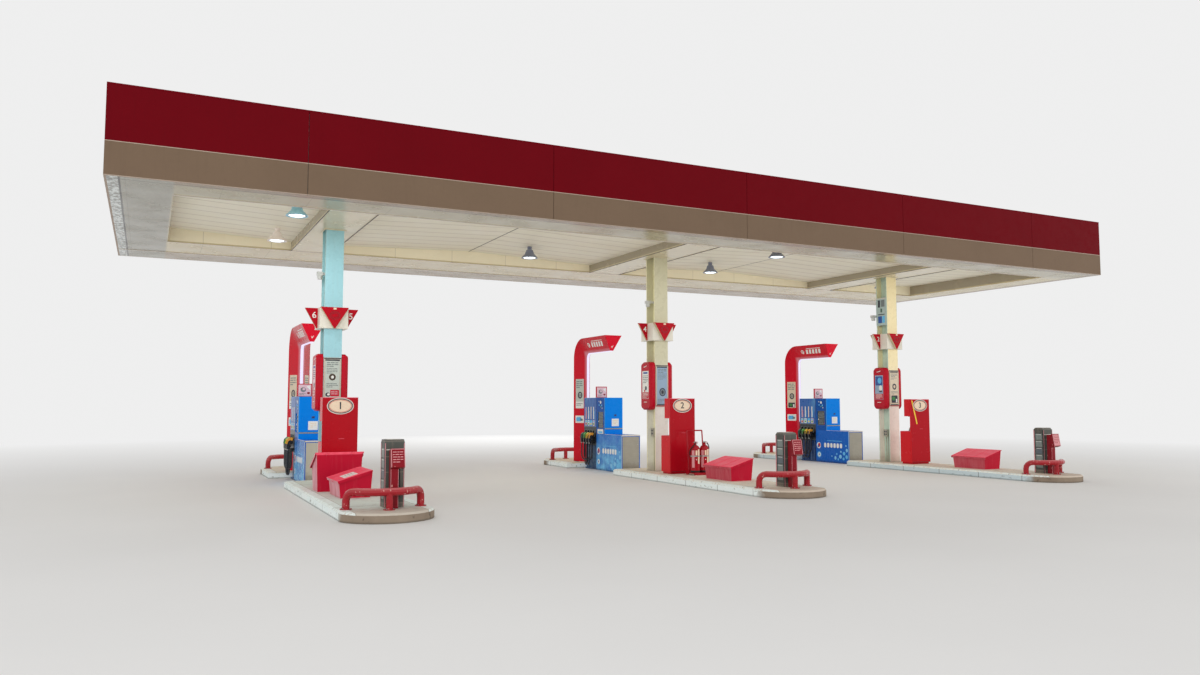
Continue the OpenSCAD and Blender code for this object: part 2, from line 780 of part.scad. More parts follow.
// lid on the sloping rim, with turned-down edges, hinged along the high side
module sand_lid(p) {
    low = sand_low * p[3];
    high = sand_high * p[3];
    run = sand_w + 2 * sand_flare;
    tilt = atan((high - low) / run);
    half = p[4] / 2 + sand_flare + lid_over;
    len = run / cos(tilt);
    color("#d21f34") translate([p[0], p[1], kerb_h]) rotate(p[2])
        translate([-run / 2, 0, low + seat]) rotate([0, -tilt, 0]) {
            slab([-lid_over, -half, 0], [len, half, lid_t]);
            slab([-lid_over, -half, -lid_lip], [-lid_over + 8, half, lid_t]);
            for (s = [-1, 1])
                slab([-lid_over, s * (half - 4) - 4, -lid_lip],
                     [len - 2 * lid_lip, s * (half - 4) + 4, lid_t]);
        }
    color("#d21f34") translate([p[0], p[1], kerb_h]) rotate(p[2])
        for (y = hinge_at(p), s = [-1, 1]) {
            start = y - knuckle / 2 + s * (knuckle + 1);
            hinge_knuckle(start, high);
            along_y(start, start + knuckle)
                polygon([[rim_x - 8, high + 4], [rim_x - 8, high + lid_t], [axis_x, high + hinge_d / 2],
                         [axis_x, high]]);
        }
}
module sand_lid_a() sand_lid(sand_at[0]);
module sand_lid_b() sand_lid(sand_at[1]);
module sand_lid_c() sand_lid(sand_at[2]);
module sand_lid_d() sand_lid(sand_at[3]);

// Fire point

fire_x = 150;
fire_y = -1320;
fire_z = kerb_h + 45;
wheel_r = 60;
wheel_t = 30;
stay_len = 790;
stay_lean = 6;
stay_r = 13;
stay_in = 20;
stay_back = 18;
handle_len = 85;
lever_len = 100;
handle_w = 24;
module extinguishers() {
    r = ext_d / 2;
    color("#c4101f") for (s = [-1, 1])
        translate([fire_x + s * ext_gap / 2, fire_y, fire_z]) rotate_extrude($fn = 24)
            polygon([[0, 0], [r - 8, 0], [r, 8], [r, ext_h - 70], [r - 25, ext_h - 25],
                     [30, ext_h], [22, ext_h + 20], [22, ext_h + 60], [0, ext_h + 60]]);
    // valve: carrying handle, with the lever over it
    color("#c4101f") for (s = [-1, 1]) translate([fire_x + s * ext_gap / 2, fire_y, fire_z + ext_h]) {
        slab([-handle_w / 2, 10 - handle_len, 24], [handle_w / 2, 10, 32]);
        slab([-handle_w / 2, 15 - lever_len, 50], [handle_w / 2, 15, 60]);
    }
}
module extinguisher_trolley() {
    w = ext_gap + ext_d;
    color("#c4101f") translate([fire_x, fire_y, 0]) {
        slab([-w / 2, -ext_d / 2, kerb_h + 30], [w / 2, ext_d / 2 + 30, fire_z]);
        for (s = [-1, 1]) {
            translate([s * (w / 2 - stay_in), ext_d / 2 + stay_back, fire_z]) rotate([-stay_lean, 0, 0])
                cylinder(h = stay_len, r = stay_r, $fn = 8);
            translate([s * (w / 2 - stay_in) - wheel_t / 2, ext_d / 2 + fit + wheel_r, kerb_h + wheel_r])
                rotate([0, 90, 0]) cylinder(h = wheel_t, r = wheel_r, $fn = 20);
        }
        translate([-(w / 2 - stay_in), ext_d / 2 + stay_back + stay_len * sin(stay_lean),
                   fire_z + stay_len * cos(stay_lean)])
            rotate([0, 90, 0]) cylinder(h = w - 2 * stay_in, r = stay_r, $fn = 8);
        slab([-w / 2 + 30, -ext_d / 2 + 10, kerb_h], [w / 2 - 30, -ext_d / 2 + 40, kerb_h + 30]);
    }
}

// Pumps

head_y = pump_near + low_len;
hose_y = head_y + display_len;
pump_far = hose_y + hose_len;
mod_in = 12;

module pump(x) {
    color("#1560c0") translate([x, 0, 0]) {
        // low cabinet under head and display, with a toe recess
        difference() {
            slab([-pump_w / 2, pump_near, 30], [pump_w / 2, hose_y, low_h]);
            slab([-pump_w / 2 + 22, pump_near - 1, 60], [pump_w / 2 - 22, pump_near + seam, low_h - 30]);
            for (s = [-1, 1]) translate([s * pump_w / 2, head_y, low_h / 2])
                cube([2 * seam, seam, low_h + 2], center = true);
        }
        slab([-pump_w / 2 + 25, pump_near + 25, 0], [pump_w / 2 - 25, pump_far - 10, 30]);
        slab([-pump_w / 2 + 60, hose_y, 30], [pump_w / 2 - 60, pump_far, module_z]);
    }
}
module pump_left() pump(cols[0]);
module pump_mid() pump(cols[1]);
module pump_right() pump(cols[2]);

// head with the display sunk into each side
screen_z = [930, 1285];
screen_deep = 18;
module pump_heads() {
    color("#0a84e8") for (x = cols) difference() {
        slab([x - pump_w / 2, head_y, low_h], [x + pump_w / 2, hose_y, head_h]);
        for (s = [-1, 1]) translate([x + s * pump_w / 2, 0, 0])
            slab([-screen_deep, head_y + 62, screen_z[0]], [screen_deep, hose_y - 62, screen_z[1]]);
    }
}

// hose module: four nozzle pockets on each side, and the hose outlets below them
module_z = 540;
nozzle_n = 4;
nozzle_pitch = 130;
pocket_w = 84;
pocket_z = 740;
pocket_h = 130;
pocket_deep = 80;
nozzle_base = 600;
outlet_z = 555;
function nozzle_y(k) = hose_y + 135 + k * nozzle_pitch;
module hose_modules() {
    color("#15181c") for (x = cols) translate([x, 0, 0]) difference() {
        union() {
            slab([-pump_w / 2, hose_y, module_z], [pump_w / 2, pump_far, head_h]);
            for (s = [-1, 1], k = [0:nozzle_n - 1]) outlet(s, k);
        }
        for (s = [-1, 1], k = [0:nozzle_n - 1])
            translate([s * pump_w / 2, nozzle_y(k), pocket_z + pocket_h / 2])
                cube([2 * pocket_deep, pocket_w, pocket_h], center = true);
    }
}
// elbow that the hose hangs from
module outlet(s, k) {
    p = hose_end(s, k);
    translate([s * pump_w / 2 - s * 20, p[1], outlet_z + 32]) rotate([0, s * 90, 0])
        cylinder(h = 20 + outlet_out, r = 15, $fn = 24);
    translate([p[0], p[1], outlet_z]) cylinder(h = 50, r = 20, $fn = 24);
}

topper_left = 185;
topper_w = 270;
topper_h = 255;
topper_in = 80;
topper_t = 30;
module pump_toppers() {
    color("#d8323c") for (x = cols)
        translate([x - topper_left, hose_y + topper_in, head_h]) cube([topper_w, topper_t, topper_h]);
}

// nozzle with its spout in the pocket, and a guard round the lever
nozzle_t = 50;
nozzle_high = 212;
nozzle_neck = 20;
nozzle_grip = 100;
nozzle_elbow = 175;
guard_low = 40;
guard_in = 75;
spout_len = 60;
spout_h = 26;
module nozzles() {
    n = pump_w / 2 + hose_out;
    f = pump_w / 2;
    color("#2b2d30") for (x = cols, s = [-1, 1], k = [0:nozzle_n - 1])
        translate([x, nozzle_y(k) + nozzle_t / 2, nozzle_base])
            mirror([s < 0 ? 1 : 0, 0, 0]) rotate([90, 0, 0]) linear_extrude(nozzle_t) difference() {
                spout_z = pocket_z - nozzle_base;
                polygon([[n - nozzle_neck, 0], [n + nozzle_neck, 0], [n + nozzle_neck + 4, nozzle_grip],
                         [n + 6, nozzle_elbow], [n - 2 * nozzle_neck, nozzle_high],
                         [f + 10, nozzle_high - 12], [f - spout_len, spout_z + spout_h],
                         [f - spout_len, spout_z], [f + 4, spout_z], [n - guard_in, nozzle_grip - 10],
                         [n - guard_in + 13, guard_low]]);
                polygon([[n - guard_in + 25, guard_low + 10], [n - guard_in + 49, guard_low],
                         [n - nozzle_neck + 2, nozzle_grip], [n - 2 * nozzle_neck, nozzle_grip + 28],
                         [n - guard_in + 13, nozzle_grip - 6]]);
            }
}

// hoses: each hangs in one loop from its nozzle to an outlet of its module.
// Loops: [distance along the loop's span, height]; the first and last hang apart
hose_low = [[0, 600], [0, 540], [0, 480], [0, 420], [0, 355], [0, 290], [0, 225], [17, 162],
            [62, 117], [125, 100], [188, 117], [233, 162], [250, 225], [250, 290], [250, 355],
            [250, 420], [250, 490], [250, 555]];
hose_high = [[0, 600], [0, 530], [0, 460], [0, 390], [0, 320], [16, 260], [60, 216], [120, 200],
             [180, 216], [224, 260], [240, 320], [240, 380], [240, 440], [240, 500], [240, 555]];
function hose_shape(k) = k < 2 ? hose_low : hose_high;
function hose_dir(k) = k < 2 ? 1 : -1;
function hose_span(k) = k < 2 ? 250 : 240;
function hose_point(s, k, q) = let (out = hose_out - (hose_out - outlet_out) * q[0] / hose_span(k))
    [s * (pump_w / 2 + out), nozzle_y(k) + hose_dir(k) * q[0], q[1]];
function hose_end(s, k) = let (h = hose_shape(k)) hose_point(s, k, h[len(h) - 1]);
module hose_set(x) {
    color("#1a1b1c") for (s = [-1, 1], k = [0:nozzle_n - 1]) {
        p = [for (q = hose_shape(k)) hose_point(s, k, q) + [x, 0, 0]];
        d = p[len(p) - 1] - p[0];
        swept(p, [for (q = p) unit([-d[1], d[0], 0])], hose_d / 2, 8);
    }
}
module hoses_left() hose_set(cols[0]);
module hoses_mid() hose_set(cols[1]);
module hoses_right() hose_set(cols[2]);

// Pump arches

// wedge section: wide outer face at r, narrow edge at r - arch_d
module wedge(r) {
    polygon([[r - arch_d, -arch_in / 2], [r, -arch_w / 2], [r, arch_w / 2], [r - arch_d, arch_in / 2]]);
}
// pillar from foot, corner, and arm to tip; the child lies in the section plane
module arch_path(x, foot, tip) {
    cy = arch_y - arch_r;
    cz = arch_h - arch_r;
    translate([x, cy, foot]) linear_extrude(cz - foot) rotate(90) children();
    translate([x, cy, cz]) rotate([0, -90, 0]) rotate_extrude(angle = 90, $fn = 48) children();
    translate([x, tip, cz]) rotate([-90, -90, 0]) linear_extrude(cy - tip) children();
}
module arch(x) color("#c4101f") difference() {
    arch_path(x, kerb_h, arch_tip) wedge(arch_r);
    translate([x, arch_tip, arch_h]) rotate([atan(arch_lean / arch_d), 0, 0])
        translate([-arch_w, -400, -2 * arch_d]) cube([2 * arch_w, 400, 3 * arch_d]);
}
module arch_left() arch(cols[0]);
module arch_mid() arch(cols[1]);
module arch_right() arch(cols[2]);
light_foot = 1000;
module arch_lights() {
    w = arch_in - 24;
    color("#f4f6ff") for (x = cols) arch_path(x, light_foot, arch_tip + arch_lean)
        translate([arch_r - arch_d - 10, -w / 2]) square([10, w]);
}

// Cameras and plates on the columns

// dome camera under its housing, at a bracket's end
module camera() {
    slab([-50, -45, -35], [50, 45, 25]);
    translate([0, 0, -100]) cylinder(h = 65, r = 45, $fn = 20);
}
camera_z = 3530;
camera_z_left = 3690;
module cameras() {
    x = -col_w / 2 - 60;
    color("#d5d7d8") {
        for (place = [[cols[0], camera_z_left], [cols[1], camera_z]])
            translate([place[0], 0, place[1]]) {
                translate([x, 0, 0]) camera();
                slab([x, -25, -25], [-col_tw / 2, 25, 15]);
            }
        translate([cols[2] + x, col_d / 2 + 45, camera_z]) camera();
        slab([cols[2] + x, col_d / 2, camera_z - 25], [cols[2] + x + 140, col_d / 2 + 60, camera_z + 15]);
    }
}
junction_z_mid = 820;
junction_z_right = 710;
junction_h = 160;
junction_w = 120;
junction_in = 30;
module junction_boxes() {
    color("#c3c0b6") for (p = [[cols[1], junction_z_mid], [cols[2], junction_z_right]])
        slab([p[0] - col_w / 2 + junction_in, -junction_w / 2, p[1]],
             [p[0] - col_tw / 2, junction_w / 2, p[1] + junction_h]);
}
plate_t = 16;
plate_z = 3300;
plate_h = 650;
module column_plates() {
    color("#dfe6ea") for (s = [-1, 1])
        translate([cols[2] + s * (col_w + plate_t) / 2, 0, plate_z + plate_h / 2])
            cube([plate_t, col_d - 20, plate_h], center = true);
}

column_left();
column_mid();
column_right();
girders();
edge_beams();
purlins();
fascia_posts();
fascia_red_near();
fascia_red_far();
fascia_red_ends();
fascia_grey_near();
fascia_grey_far();
fascia_grey_ends();
fascia_capping();
roof_deck();
soffit_near();
soffit_far();
soffit_ends();
soffit_margins();
cross_casings();
lamps();
sign_boxes();
sign_triangles();
poster_pods();
poster_panels();
cabinets();
cabinet_rolls();
island_left();
island_mid();
island_right();
hoops_near();
hoops_far();
service_units();
service_boxes();
sand_boxes();
sand_lid_a();
sand_lid_b();
sand_lid_c();
sand_lid_d();
extinguishers();
extinguisher_trolley();
pump_left();
pump_mid();
pump_right();
pump_heads();
hose_modules();
pump_toppers();
nozzles();
hoses_left();
hoses_mid();
hoses_right();
arch_left();
arch_mid();
arch_right();
arch_lights();
cameras();
junction_boxes();
column_plates();
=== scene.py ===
"""Looks of the filling station canopy: camera, hoses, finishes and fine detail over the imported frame."""
import itertools
import math
from functools import cached_property

import bmesh
import bpy
from mathutils import Matrix, Vector


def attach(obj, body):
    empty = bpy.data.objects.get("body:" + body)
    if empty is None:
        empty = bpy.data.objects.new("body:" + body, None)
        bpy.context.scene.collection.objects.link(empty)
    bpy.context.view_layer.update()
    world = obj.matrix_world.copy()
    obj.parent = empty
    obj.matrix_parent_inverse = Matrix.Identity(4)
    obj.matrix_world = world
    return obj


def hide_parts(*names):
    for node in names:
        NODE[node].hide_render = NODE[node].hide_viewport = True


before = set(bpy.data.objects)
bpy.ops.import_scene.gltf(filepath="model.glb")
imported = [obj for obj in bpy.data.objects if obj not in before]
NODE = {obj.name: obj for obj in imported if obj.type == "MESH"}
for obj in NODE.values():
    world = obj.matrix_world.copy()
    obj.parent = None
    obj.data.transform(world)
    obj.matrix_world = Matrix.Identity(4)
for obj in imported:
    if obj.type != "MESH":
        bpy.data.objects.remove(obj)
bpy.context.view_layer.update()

# Places and sizes as in the source, in mm; camera, materials and lights work in metres

COLUMNS = (-6460, 0, 6270)
SIDES = ("left", "mid", "right")
X0, X1, Y0, Y1 = -9850, 10350, -2610, 4530
SOFFIT, SPLIT, TOP = 4435, 4895, 5670
KERB = 125
SIGN_Z, POSTER_Z, POD_OUT = 2735, 1410, 265
CAB_W, CAB_Y, CAB_DEEP, CAB_TOP = 560, -950, 330, 1570
HOOP_R, HOOP_ARC, HOOP_TAIL, BOLTS_R = 520, 52, 120, 64
UNIT_OFF, UNIT_W, UNIT_NEAR, UNIT_MID = 120, 260, -4050, -3940
PUMP_W, PUMP_NEAR, HEAD_Y, HOSE_Y, PUMP_FAR = 450, 1120, 1910, 2315, 2935
LOW_H, HEAD_H = 797, 1600
ARCH_BACK, ARCH_UNDER, ARCH_END, ARCH_DEEP = 3540, 2650, 2000, 340
ARCH_WIDE, ARCH_NARROW = 210, 40
LAMPS = ((-7250, -1300, 4381.8), (-7250, 1100, 4381.8), (-2360, 1100, 4432.6),
         (2050, -1300, 4423.7), (2050, 1100, 4423.7), (7200, 1100, 4382.5))
X, Y, Z = 0, 1, 2
UP = (0, 0, 1)


def metres(point):
    """Vector in the scene's metres of a point in mm."""
    return Vector([c / 1000 for c in point])


# Camera

def make_camera():
    """Camera of the photo, solved from the straight lines of the object."""
    data = bpy.data.cameras.new("camera")
    data.sensor_width = 36.0
    data.lens = 26.885
    data.clip_end = 900.0
    cam = bpy.data.objects.new("camera", data)
    cam.location = (-9.252, -15.735, 1.461)
    cam.rotation_euler = (math.radians(90 + 4.248), 0, math.radians(-26.803))
    bpy.context.scene.collection.objects.link(cam)
    bpy.context.scene.camera = cam


make_camera()


# Materials

# where coats end, in metres: x beside the left and the right island, x and y of the soffit's left end and
# near strip, y of the nozzle bay, z of the bay's top
LEFT_ISLAND, RIGHT_ISLAND = (-5.7, -5.3), (5.2, 5.6)
LEFT_BAND, NEAR_STRIP = (-9.03, -8.99), (-1.9, -1.6)
BAY, BAY_TOP = (2.325, 2.95), (0.953, 0.957)
MATERIALS = {}


def linear(c):
    """Colour as the shader wants it; text is the hex code of a colour as seen."""
    if isinstance(c, str):
        seen = [v / 255 for v in bytes.fromhex(c)]
        return tuple(v / 12.92 if v < 0.0405 else ((v + 0.055) / 1.055) ** 2.4 for v in seen)
    return c


def shade_of(c, k):
    return tuple(min(1.0, v * k) for v in linear(c))


class Shade:
    """A procedural material: one Principled shader, and the small steps that feed it."""

    def __init__(self, name, rough=0.5, metal=0.0, **sockets):
        self.mat = bpy.data.materials.new(name)
        self.mat.use_nodes = True
        self.tree = self.mat.node_tree
        self.out = self.tree.nodes["Principled BSDF"]
        for key, value in {"Roughness": rough, "Metallic": metal, **sockets}.items():
            self.out.inputs[key.replace("_", " ")].default_value = value
        self.coords = self.node("ShaderNodeTexCoord").outputs["Object"]
        MATERIALS[name] = self.mat

    def node(self, kind, **inputs):
        n = self.tree.nodes.new(kind)
        for key, value in inputs.items():
            self.feed(n.inputs[key], value)
        return n

    def feed(self, socket, value):
        if isinstance(value, bpy.types.NodeSocket):
            self.tree.links.new(value, socket)
        elif socket.type == "RGBA":
            socket.default_value = (*linear(value), 1.0)
        else:
            socket.default_value = value

    def put(self, name, value):
        self.feed(self.out.inputs[name], value)

    @cached_property
    def place(self):
        """Place on the object: X, Y and Z, in metres."""
        return self.node("ShaderNodeSeparateXYZ", Vector=self.coords).outputs

    @cached_property
    def facing(self):
        """Direction that the face looks in: X, Y and Z."""
        normal = self.node("ShaderNodeNewGeometry").outputs["Normal"]
        return self.node("ShaderNodeSeparateXYZ", Vector=normal).outputs

    def noise(self, size, detail=3.0, stretch=(1, 1, 1), shift=0.0):
        """Grey noise, 0 to 1, whose grains are about size metres; stretch makes them longer."""
        m = self.node("ShaderNodeMapping", Vector=self.coords)
        m.inputs["Scale"].default_value = [1 / (size * s) for s in stretch]
        m.inputs["Location"].default_value = (shift, shift * 1.7, shift * 0.6)
        n = self.node("ShaderNodeTexNoise", Vector=m.outputs[0], Detail=detail, Scale=1.0)
        return n.outputs["Fac"]

    def ramp(self, value, lo, hi, a=0.0, b=1.0):
        """value from lo to hi becomes a to b, clamped."""
        n = self.node("ShaderNodeMapRange")
        for i, v in enumerate((value, lo, hi, a, b)):
            self.feed(n.inputs[i], v)
        return n.outputs[0]

    def math(self, kind, a, b=0.0):
        n = self.node("ShaderNodeMath")
        n.operation = kind
        self.feed(n.inputs[0], a)
        self.feed(n.inputs[1], b)
        return n.outputs[0]

    def times(self, first, *others):
        for other in others:
            first = self.math("MULTIPLY", first, other)
        return first

    def band(self, value, lo, hi, soft=0.004):
        """1 between lo and hi, 0 outside."""
        return self.times(self.ramp(value, lo - soft, lo + soft),
                          self.ramp(value, hi - soft, hi + soft, 1.0, 0.0))

    def lines(self, value, every, inner, outer, strong):
        """strong on a line at each step of value, and 0 from outer on either side of it."""
        return self.ramp(self.math("PINGPONG", value, every / 2), inner, outer, strong, 0.0)

    def across(self):
        """1 on faces that look along X."""
        return self.ramp(self.math("ABSOLUTE", self.facing[X]), 0.5, 0.7)

    def mix(self, amount, a, b):
        n = self.node("ShaderNodeMix")
        n.data_type = "RGBA"
        for i, v in ((0, amount), (6, a), (7, b)):
            self.feed(n.inputs[i], v)
        return n.outputs[2]

    def layers(self, base, *coats):
        """Lays coats of (amount, colour) on base, one after the other."""
        for amount, c in coats:
            base = self.mix(amount, base, c)
        return base

    def bump(self, height, deep, strength):
        n = self.node("ShaderNodeBump", Height=height, Distance=deep, Strength=strength)
        self.put("Normal", n.outputs[0])


def painted(name, c, rough=0.35, dirt=(0.22, 0.19, 0.16), low=None, grime=0.2, worn=0.0,
            under=(0.45, 0.40, 0.36), zones=None, mottle=0.10, shine=0.5):
    """Sheet or tube under paint: clouded colour, dust in streaks, a dirty foot below low, worn spots."""
    s = Shade(name, rough, Specular_IOR_Level=shine)
    base = s.mix(s.noise(0.9, 4), shade_of(c, 0.90), shade_of(c, 1.07))
    if zones:
        base = zones(s, base)
    base = s.layers(base, (s.ramp(s.noise(0.06, 6, shift=3.1), 0.5, 0.8, 0, mottle), shade_of(c, 0.6)),
                    (s.ramp(s.noise(0.035, 4, (1, 1, 16), 1.3), 0.55, 0.80, 0, grime), dirt))
    if low:
        height = s.math("ADD", s.place[Z], s.times(s.noise(0.07, 5), 0.10))
        base = s.mix(s.ramp(height, *low, 0.7, 0.0), base, dirt)
    if worn:
        spots = s.ramp(s.noise(0.05, 8, shift=5.5), 0.70 - worn * 0.10, 0.715 - worn * 0.10)
        base = s.mix(spots, base, under)
    s.put("Base Color", base)
    s.put("Roughness", s.ramp(s.noise(0.12, 4, shift=9.0), 0.3, 0.8, rough * 0.85, min(1, rough * 1.3)))
    s.bump(s.noise(0.006, 2), 0.0004, 0.6)


def plain(name, c, rough=0.5, metal=0.0, speck=0.10, size=0.02, **sockets):
    """Plastic, glass, print or bare metal: a fine speckle of tone and a light grain."""
    s = Shade(name, rough, metal, **sockets)
    fleck = s.ramp(s.noise(size, 5), 0.35, 0.7)
    s.put("Base Color", s.mix(fleck, shade_of(c, 1 - speck), shade_of(c, 1 + speck)))
    s.bump(s.noise(0.004, 2), 0.0002, 0.5)
    return s


def island_top(s):
    """Pale worn concrete, cooler on the left island, warmer far, browner near; painted kerb stones."""
    aside = [s.math("ABSOLUTE", s.math("SUBTRACT", s.place[X], x / 1000)) for x in COLUMNS]
    middle = s.math("MINIMUM", aside[0], s.math("MINIMUM", aside[1], aside[2]))
    stones = s.times(s.ramp(middle, 0.455, 0.465), s.ramp(s.noise(0.05, 6, shift=15), 0.62, 0.50, 0.25, 0.85))
    slabs = s.lines(s.math("ADD", s.place[Y], 0.1), 1.2, 0.004, 0.010, 0.65)
    return s.layers(
        s.mix(s.noise(0.35, 5), "cab8a8", "ece4d2"),
        (s.ramp(s.noise(0.012, 4, shift=2), 0.4, 0.75), "f2ecdc"),
        (s.ramp(s.place[X], *LEFT_ISLAND, 0.6, 0.0), "cededa"),
        (s.ramp(s.noise(0.14, 5, shift=7), 0.58, 0.75, 0, 0.6), "968678"),
        (s.ramp(s.place[Y], 2.2, 3.4, 0.0, 0.45), "ece2be"),
        (s.ramp(s.place[Y], -4.3, -3.9, 0.7, 0.0), "c4b2a0"),
        (stones, "f0faf6"),
        (s.band(middle, 0.452, 0.458, 0.002), "968a7c"),
        (slabs, "50483e"))


def kerb_side(s):
    """Chipped white paint, greyer on the right island and gone at the noses; joints, a dark foot."""
    chips = s.ramp(s.noise(0.06, 8, (1, 1.6, 0.7), 4), 0.60, 0.68, 0, 0.7)
    far_out = s.math("ADD", s.math("ABSOLUTE", s.place[Y]), s.times(s.noise(0.2, 3), 0.3))
    bare = s.mix(s.ramp(s.noise(0.10, 8, shift=12), 0.60, 0.68, 0, 0.8),
                 s.mix(s.noise(0.25, 4, shift=8), "7e6e5e", "a0907e"), "54483c")
    kerb = KERB / 1000
    return s.layers(
        s.mix(s.noise(0.3, 4), "ecfcfa", "fcfffe"),
        (s.ramp(s.noise(0.02, 5, shift=6), 0.55, 0.85, 0, 0.4), "aaaca4"),
        (chips, s.mix(s.noise(0.02, 4), "848882", "acb0a8")),
        (s.ramp(s.place[X], *RIGHT_ISLAND, 0.0, 0.6), "b0c6d0"),
        (s.lines(s.place[Y], 1.0, 0.003, 0.008, 0.8), "3e3830"),
        (s.ramp(far_out, 4.25, 4.42), bare),
        (s.ramp(s.place[Z], kerb - 0.020, kerb - 0.012, 0, 0.7), "ece2cc"),
        (s.ramp(s.place[Z], 0.0, 0.03, 0.7, 0.0), "464038"))


def concrete():
    s = Shade("concrete", 0.85)
    s.put("Base Color", s.mix(s.ramp(s.facing[Z], 0.3, 0.7), kerb_side(s), island_top(s)))
    s.bump(s.noise(0.012, 6), 0.0018, 0.8)


def stainless():
    """End panel of a pump: brushed sheet, paler on the left one, stained along its foot."""
    s = Shade("stainless", 0.35, 0.45)
    height = s.math("ADD", s.place[Z], s.times(s.noise(0.05, 5), 0.2))
    s.put("Base Color", s.layers(
        s.mix(s.noise(0.25, 4, (1, 1, 2)), "8a887e", "b6ae9e"),
        (s.ramp(s.place[X], -6.0, -5.8, 0.7, 0.0), "d8d2c2"),
        (s.ramp(s.noise(0.004, 2, (40, 1, 1)), 0.35, 0.65, 0, 0.3), "bebcb6"),
        (s.ramp(height, 0.18, 0.34, 0.6, 0.0), "706250")))
    s.put("Roughness", s.ramp(s.noise(0.1, 4), 0.3, 0.7, 0.28, 0.48))
    s.bump(s.noise(0.003, 2, (30, 1, 1)), 0.0003, 0.4)


def rims(s, base):
    """Turned-up edges of the coffers, greyer where they cross the canopy."""
    rim = s.mix(s.across(), "fff6da", "b0a690")
    soffit = SOFFIT / 1000
    base = s.mix(s.ramp(s.place[Z], soffit + 0.022, soffit + 0.035), base, rim)
    return base, s.noise(0.5, 3, (2, 1, 1)), 0.001


def boards(s, base):
    """Rims, seams, a joint at the fascia, and a grey left end with a crinkled pale strip."""
    base, height, deep = rims(s, base)
    end = s.ramp(s.place[X], *LEFT_BAND, 1.0, 0.0)
    crinkle = s.ramp(s.noise(0.05, 6, (1, 2.5, 1)), 0.42, 0.60)
    base = s.layers(
        base,
        (end, s.mix(s.noise(0.4, 4), "928f80", "aaa89a")),
        (s.ramp(s.place[X], -9.68, -9.66, 1.0, 0.0), s.mix(crinkle, "969892", "e2eae8")),
        (s.band(s.place[X], -9.685, -9.66), "3c362e"),
        (s.lines(s.place[X], 1.2, 0.002, 0.006, 0.35), "5a5040"),
        (s.band(s.place[Y], -2.437, -2.423, 0.003), "30261e"))
    return base, s.math("ADD", height, s.times(end, s.noise(0.05, 4))), deep


def ribs(s, base):
    """Decking: close ribs, a grey upper side and a dark ridge line over each half."""
    rib = s.math("PINGPONG", s.place[Y], 0.21)
    base = s.layers(
        base,
        (s.ramp(rib, 0.004, 0.030, 0.45, 0.0), "96866c"),
        (s.ramp(s.facing[Z], 0.4, 0.6), s.mix(s.noise(0.4, 5, shift=4), "969894", "bcbcb6")),
        *((s.band(s.place[X], x - 0.012, x + 0.012), "605442") for x in (-3.23, 3.135)))
    return base, s.ramp(rib, 0.0, 0.05), 0.004


def sheet(name, c, detail, rough=0.22, near=None, shine=0.3):
    """Gloss sheet overhead: cloudy tone, faint streaks; near is the tone by the near fascia."""
    s = Shade(name, rough, Specular_IOR_Level=shine)
    base = s.mix(s.noise(1.6, 3), shade_of(c, 0.94), shade_of(c, 1.05))
    if near:
        base = s.mix(s.ramp(s.place[Y], *NEAR_STRIP, 1.0, 0.0), base, near)
    base = s.mix(s.ramp(s.noise(0.12, 4, (12, 1, 1), 2.2), 0.50, 0.90, 0, 0.12), base, "b2a284")
    base, height, deep = detail(s, base)
    s.put("Base Color", base)
    s.put("Roughness", s.ramp(s.noise(0.5, 3), 0.3, 0.7, rough * 0.8, rough * 1.4))
    s.bump(height, deep, 0.55)


# Zones: coats that a painted finish takes on some of its faces

def lamp_zones(s, base):
    """Bells in the light of their own lamps: bluish over the near left one, warm over the far left one."""
    tone = s.mix(s.ramp(s.place[Y], -0.1, 0.1), "a0daee", "fff4ee")
    return s.mix(s.ramp(s.place[X], -6.5, -6.4, 1.0, 0.0), base, tone)


def sides_of(c):
    """Zone: faces that look along X take this colour."""
    def zones(s, base):
        return s.mix(s.across(), base, c)
    return zones


def top_light(c, amount=0.6):
    """Zone: what faces up takes this colour, a painted highlight."""
    def zones(s, base):
        return s.mix(s.ramp(s.facing[Z], 0.2, 0.9, 0.0, amount), base, c)
    return zones


def column_near_face_light(upper, lower):
    """Column: near face in painted lamp light, one tone above the posters and one below; the recess keeps its
    own.
    """
    def zones(s, base):
        near_face = s.ramp(s.facing[Y], -0.7, -0.5, 0.95, 0.0)
        return s.mix(near_face, base, s.mix(s.ramp(s.place[Z], 1.4, 2.4), lower, upper))
    return zones


def module_zones(s, base):
    """Hose module: blue over a dark nozzle bay."""
    upper = s.mix(s.ramp(s.noise(0.12, 3, (1, 1, 3), 5), 0.52, 0.75, 0, 0.35),
                  s.mix(s.noise(0.3, 4), "04509e", "0c60b8"), "6ebee6")
    return s.mix(s.ramp(s.place[Z], *BAY_TOP), base, upper)


def low_zones(s, base):
    """Low cabinet: pale wash low on the long sides, not on the right pump; painted shade behind the hoses."""
    wash = s.times(s.across(), s.ramp(s.noise(0.22, 3, shift=4), 0.30, 0.66, 0.12, 0.85),
                   s.ramp(s.place[Z], 0.22, 0.74, 1.0, 0.3), s.ramp(s.place[X], 3.0, 3.1, 1.0, 0.0))
    # painted shade of the hoses on the sides behind them, dark with pale streaks
    bay = s.times(s.across(), s.band(s.place[Y], *BAY, 0.01), 0.85)
    streaks = s.ramp(s.noise(0.016, 4, (1, 1, 40), 3), 0.52, 0.66)
    return s.layers(base, (wash, "88d8ff"), (bay, s.mix(streaks, "1a2c4e", "8098b6")))


def triangle_underside_shade(s, base):
    """Number triangles: beige undersides, painted shade."""
    return s.mix(s.ramp(s.facing[Z], -0.45, -0.25, 1.0, 0.0), base, "cebea0")


